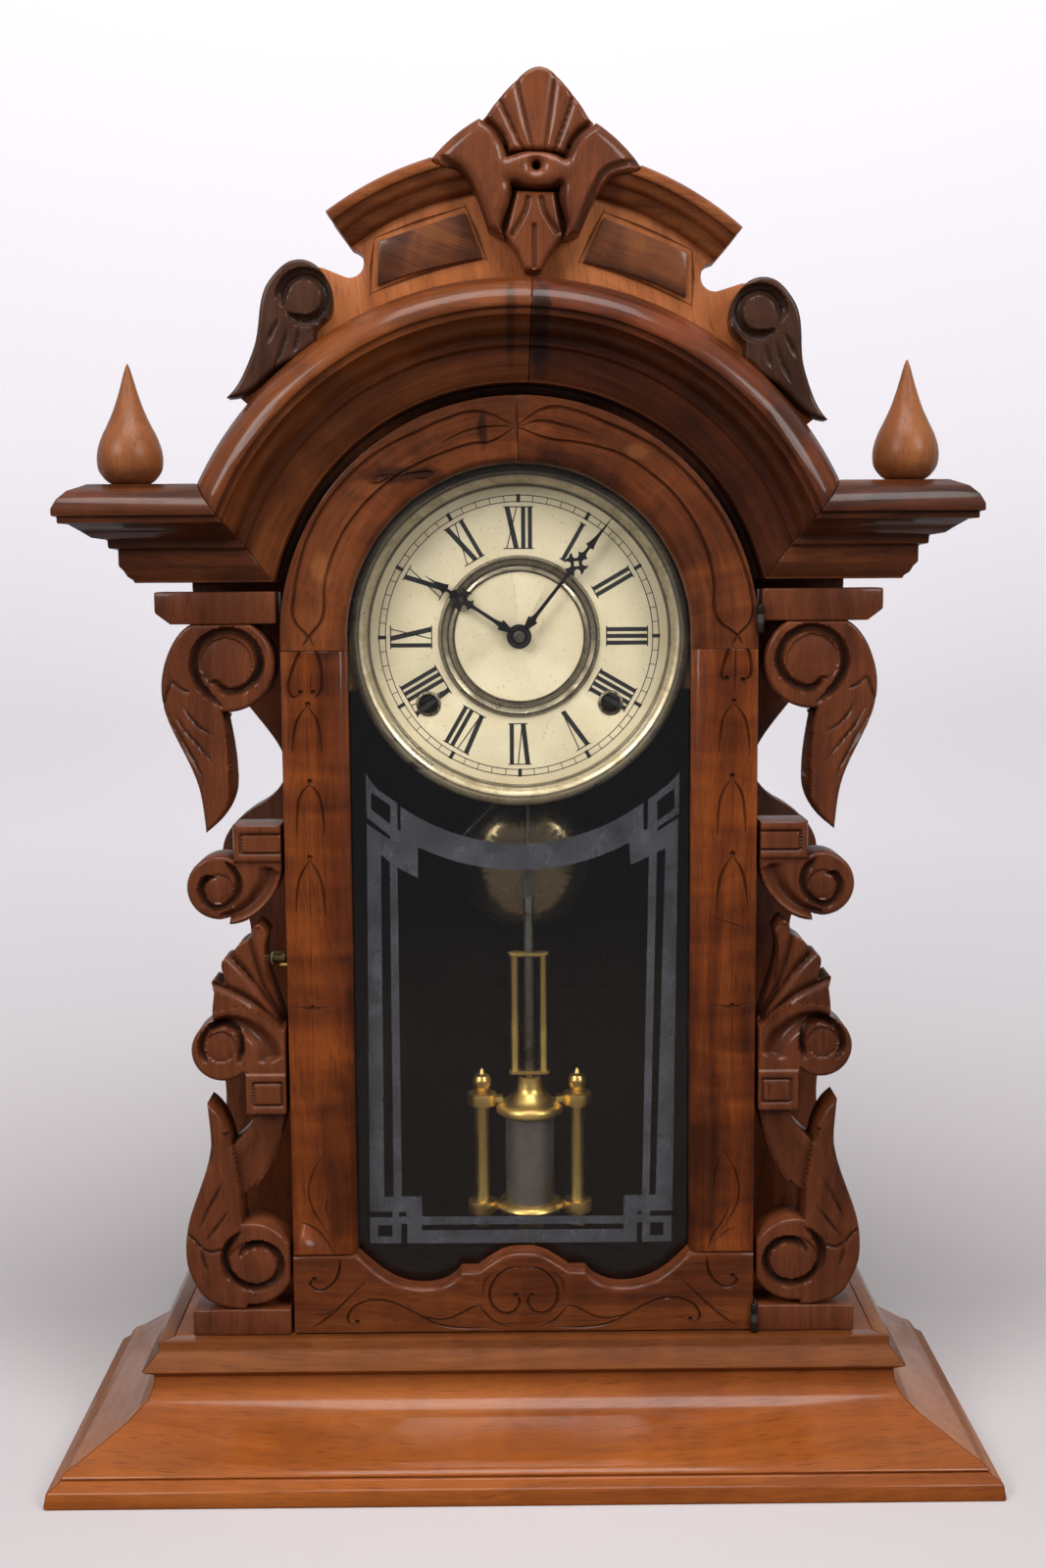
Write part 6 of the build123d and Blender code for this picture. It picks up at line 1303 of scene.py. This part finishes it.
def make_hand(name, node_name, degrees, outline, cross, bore):
    low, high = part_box(node_name)
    window = [(cross - 1.5, 0), (cross, 1.5), (cross + 1.5, 0), (cross, -1.5)]
    whole = outline + [(d, -w) for d, w in outline[::-1] if w > 0.001]
    hand = flat_curve(name, [turn_outline([(w, d) for d, w in path], degrees, ARCH_UP)
                             for path in (whole, window, circle(bore, 24))], HAND_HALF_THICK)
    bpy.ops.object.mode_set(mode="EDIT")
    bpy.ops.mesh.select_all(action="SELECT")
    bpy.ops.mesh.remove_doubles(threshold=0.000005)
    bpy.ops.mesh.normals_make_consistent(inside=False)
    bpy.ops.object.mode_set(mode="OBJECT")
    stand_up(hand, (low[1] + high[1]) / 2)
    smooth(hand, 25)
    settle(hand, node_name, "hand_black", [blued], node_name)


HAND_HALF_THICK = 0.0004
HOUR_CROSS, MINUTE_CROSS = 30.4, 41.0
make_hand("maltese_hour_hand", "hour_hand", 303.2, hand_outline(HOUR_CROSS, 38.8, 49.6, 2.7), HOUR_CROSS, 3.0)
make_hand("maltese_minute_hand", "minute_hand", 38.4, hand_outline(MINUTE_CROSS, 50.6, 66.0, 2.2), MINUTE_CROSS,
          1.8)
make_plates("crest_backing", [[(-15.0, 587.0), (-11.8, 590.4), (28.9, 590.2), (32.3, 586.6), (29.0, 578.0),
                               (-11.0, 578.0)]], -0.0345, 0.0016, carved_wood, "carved_walnut")
make_plates("printed_hours", dial_outlines(), DIAL_FACE_Y - 0.00002, 0.00004, make_print_ink(), "dial_cream")


def swag(radius, first, last):
    """An arc below the dial, drawn in sixteen steps."""
    return [(x, ARCH_UP - math.sqrt(radius ** 2 - x ** 2))
            for x in (first + (last - first) * i / 16 for i in range(17))]


BORDER_EDGE = (
    [(-68.6, 312.4), (-66.7, 309.0), (-63.5, 305.2), (-59.2, 301.9), (-54.8, 298.8), (-54.8, 286.9),
     (-53.4, 286.4)] + swag(91.8, -53.4, 54.8)
    + [(54.8, 285.9), (56.7, 286.4), (56.9, 299.6), (59.7, 301.6), (65.2, 305.9), (69.0, 309.7),
       (70.8, 312.0), (70.6, 293.4), (61.1, 287.1), (61.0, 285.4), (70.4, 291.3), (68.3, 110.1),
       (58.0, 109.9), (58.0, 107.4), (68.0, 107.4), (68.0, 95.2), (54.6, 95.2), (54.5, 104.4),
       (52.1, 104.4), (52.0, 95.2), (-53.1, 95.4), (-53.0, 104.8), (-55.6, 104.8), (-55.9, 95.4),
       (-70.1, 95.6), (-70.1, 107.9), (-59.8, 107.8), (-59.8, 110.5), (-70.0, 110.6), (-68.5, 289.6),
       (-58.5, 282.6), (-58.0, 284.0), (-68.5, 292.6)])
BORDER_HOLES = [
    [(-66.4, 104.1), (-59.9, 104.1), (-59.9, 98.8), (-66.5, 98.9)],
    [(-56.7, 110.4), (-53.4, 110.3), (-53.4, 108.1), (-56.7, 108.2)],
    [(-62.4, 276.0), (-58.5, 272.2), (-59.0, 117.6), (-63.3, 117.6)],
    [(-46.3, 104.2), (46.0, 104.0), (46.0, 101.4), (-46.4, 101.6)],
    [(58.1, 104.4), (64.2, 104.3), (64.2, 98.2), (58.1, 98.3)],
    [(52.3, 109.9), (54.1, 109.9), (54.1, 108.3), (52.3, 108.3)],
    [(60.9, 275.9), (64.7, 277.7), (60.6, 117.6), (57.7, 117.6)],
    [(-66.3, 303.9), (-57.8, 297.7), (-58.1, 289.5), (-66.5, 296.2)],
    [(68.6, 304.8), (60.8, 298.7), (61.1, 290.0), (68.7, 295.6)],
    swag(103.7, -45.9, 48.4) + [(49.1, 270.2), (57.3, 274.0), (54.4, 117.5), (46.0, 117.4), (46.0, 107.7),
                                (-46.0, 108.1), (-46.2, 117.6), (-55.3, 117.8), (-55.1, 269.8), (-46.1, 265.1)],
]


def make_frosting():
    made, tree, shader = start_material("frosted glass border")
    vector = object_coords(tree)
    cloud = noise(tree, vector, 60.0, 5.0, 0.65, 0.5)
    rubbed = noise(tree, stretch(tree, vector, 1, 1, 0.35), 210.0, 3.0, 0.6)
    haze = tint(tree, spread(tree, cloud, 0.3, 0.7), rgb(38, 39, 43), rgb(70, 71, 77))
    fill(tree, shader.inputs, Base_Color=haze, Alpha=spread(tree, rubbed, 0.25, 0.75, 0.6, 0.98),
         Roughness=0.75, Specular_IOR_Level=0.2)
    return made


border = flat_curve("frosted_border", [BORDER_EDGE, *BORDER_HOLES], 0.00002)
stand_up(border, GLASS_BACK_Y + 0.00004)
settle(border, "door", "door_glass", [make_frosting()])


# Studio

FLOOR_SHADE, WALL_SHADE = (224, 217, 219), (238, 235, 242)


def make_backdrop_shade(name, bounce):
    """Floor colour that turns to wall colour with height; bounce is what other surfaces get from it."""
    made, tree, shader = start_material(name)
    rise = spread(tree, split(tree, object_coords(tree))["Z"], 0.0, 0.22)
    paths = put(tree, "LightPath").outputs
    indirect = calc(tree, "MAXIMUM", paths["Is Diffuse Ray"], paths["Is Glossy Ray"])
    soft = tint(tree, indirect, tint(tree, rise, rgb(*FLOOR_SHADE), rgb(*WALL_SHADE)), rgb(*bounce))
    glow = tint(tree, rise, rgb(0, 0, 0), rgb(240, 238, 243))
    fill(tree, shader.inputs, Base_Color=soft, Roughness=0.9, Specular_IOR_Level=0.1, Emission_Color=glow,
         Emission_Strength=0.13)
    return made, tree, shader, paths


def make_floor():
    bpy.ops.object.select_all(action="DESELECT")
    bpy.ops.mesh.primitive_circle_add(vertices=96, radius=1.5, fill_type="NGON", location=(0, 0, 0))
    floor = bpy.context.object
    floor.name = "studio_floor"
    material, tree, shader, _ = make_backdrop_shade("pale floor", (120, 112, 108))
    reach = move_vector(tree, "LENGTH", object_coords(tree))
    fill(tree, shader.inputs, Alpha=spread(tree, reach, 0.7, 1.35, 1.0, 0.0))
    floor.data.materials.append(material)


def edit_only(obj, items, wanted):
    """Opens edit mode with only the wanted edges or faces selected."""
    for item in items:
        item.select = wanted(item)
    bpy.ops.object.mode_set(mode="EDIT")


def make_wall():
    """A paper sweep: it leaves the floor behind the base and bends up into the wall."""
    bend_radius, start, lift, top, sheet_size = 0.30, 0.14, 0.0004, 3.2, 8.0
    profile = [(start, lift)]
    profile += [(start + bend_radius * math.sin(a), lift + bend_radius * (1 - math.cos(a)))
                for a in (math.radians(3.75 * i) for i in range(1, 25))]
    profile.append((start + bend_radius, top))
    bpy.ops.object.select_all(action="DESELECT")
    bpy.ops.mesh.primitive_plane_add(size=sheet_size, location=(0, start - sheet_size / 2, lift))
    wall = bpy.context.object
    wall.name = "studio_wall"
    bpy.ops.object.mode_set(mode="EDIT")
    bpy.ops.mesh.select_mode(type="EDGE")
    bpy.ops.mesh.select_all(action="DESELECT")
    bpy.ops.object.mode_set(mode="OBJECT")
    corners = wall.data.vertices
    edit_only(wall, wall.data.edges, lambda edge: all(corners[i].co.y > 3.9 for i in edge.vertices))
    for (y, z), (farther, higher) in zip(profile, profile[1:]):
        bpy.ops.mesh.extrude_edges_move(TRANSFORM_OT_translate={"value": (0, farther - y, higher - z)})
    bpy.ops.mesh.select_mode(type="FACE")
    bpy.ops.mesh.select_all(action="DESELECT")
    bpy.ops.object.mode_set(mode="OBJECT")
    edit_only(wall, wall.data.polygons, lambda face: face.center.y < 3.9)
    bpy.ops.mesh.delete(type="FACE")
    bpy.ops.mesh.select_all(action="SELECT")
    bpy.ops.object.mode_set(mode="OBJECT")
    bpy.ops.object.transform_apply(location=True, rotation=True, scale=True)
    if wall.data.polygons[0].normal.z < 0:
        wall.data.flip_normals()
    smooth(wall, 60)
    material, tree, shader, paths = make_backdrop_shade("pale wall", (200, 198, 204))
    clear = put(tree, "BsdfTransparent").outputs[0]
    glow = put(tree, "Emission", {"Strength": 0.6, "Color": rgb(240, 239, 244)}).outputs[0]
    bounced = calc(tree, "MAXIMUM", paths["Is Glossy Ray"], paths["Is Transmission Ray"])
    surface = mix_shaders(tree, paths["Is Camera Ray"], clear, shader.outputs[0])
    surface = mix_shaders(tree, bounced, surface, glow)
    surface = mix_shaders(tree, put(tree, "NewGeometry").outputs["Backfacing"], surface, clear)
    fill(tree, tree.nodes["Material Output"].inputs, Surface=surface)
    wall.data.materials.append(material)


def make_lamp(name, place, aim, size, watts, colour):
    data = bpy.data.lights.new(name, "AREA")
    data.shape = "RECTANGLE"
    data.size, data.size_y = size
    data.energy = watts
    data.color = colour
    lamp = add_object(name, data)
    lamp.location = place
    lamp.rotation_euler = (Vector(aim) - Vector(place)).to_track_quat("-Z", "Y").to_euler()


def make_world():
    """White to the camera; dim air on the object; a room that is dark behind the camera in reflections."""
    world = bpy.data.worlds.new("studio air")
    world.use_nodes = True
    scene.world = world
    tree = world.node_tree
    paths = put(tree, "LightPath").outputs
    bounced = calc(tree, "MAXIMUM", paths["Is Glossy Ray"], paths["Is Transmission Ray"])
    mirrored = split(tree, put(tree, "TexCoord").outputs["Generated"])
    room = spread(tree, mirrored["Y"], -0.3, 0.6, 0.02, 1.0)
    room = calc(tree, "ADD", room, spread(tree, mirrored["Z"], 0.1, 0.9, 0.0, 0.15), clamp=True)
    seen = calc(tree, "MAXIMUM", paths["Is Camera Ray"], calc(tree, "MULTIPLY", bounced, room))
    air = tree.nodes["Background"]
    fill(tree, air.inputs, Color=rgb(240, 240, 246), Strength=0.16)
    plain = put(tree, "Background", {"Color": rgb(243, 242, 247), "Strength": 1.0})
    surface = mix_shaders(tree, seen, air.outputs[0], plain.outputs[0])
    fill(tree, tree.nodes["World Output"].inputs, Surface=surface)


CAMERA_PLACE = (-0.003996, -0.821672, 0.402445)
CAMERA_YAW, CAMERA_PITCH, CAMERA_ROLL = 0.0065109, 0.1184439, 0.0064418
FOCAL_PIXELS, PHOTO_HEIGHT, SENSOR = 1852.7568, 1600, 36.0


def make_camera():
    yaw, pitch, roll = CAMERA_YAW, CAMERA_PITCH, CAMERA_ROLL
    ahead = Vector((math.sin(yaw) * math.cos(pitch), math.cos(yaw) * math.cos(pitch), -math.sin(pitch)))
    level = Vector((math.cos(yaw), -math.sin(yaw), 0))
    down = ahead.cross(level)
    down = down if down.z < 0 else -down
    right = math.cos(roll) * level + math.sin(roll) * down
    below = -math.sin(roll) * level + math.cos(roll) * down
    data = bpy.data.cameras.new("camera")
    data.sensor_width = SENSOR
    data.lens = FOCAL_PIXELS / PHOTO_HEIGHT * SENSOR
    data.clip_start = 0.02
    data.clip_end = 30.0
    camera = add_object("camera", data)
    turn = Matrix((right, -below, -ahead)).transposed().to_4x4()
    camera.matrix_world = Matrix.Translation(CAMERA_PLACE) @ turn
    scene.camera = camera


make_floor()
make_wall()
for side, across, watts in (("left", -1.2, 15), ("right", 1.2, 13.5)):
    make_lamp(side + " softbox", (across, -1.35, 1.25), (0, 0, 0.3), (0.7, 0.7), watts, (1, 0.985, 0.96))
make_lamp("top softbox", (0.0, -0.62, 1.7), (0, 0.02, 0.2), (1.1, 0.7), 17, (1, 0.99, 0.98))
make_world()
make_camera()
scene.view_settings.view_transform = "Standard"
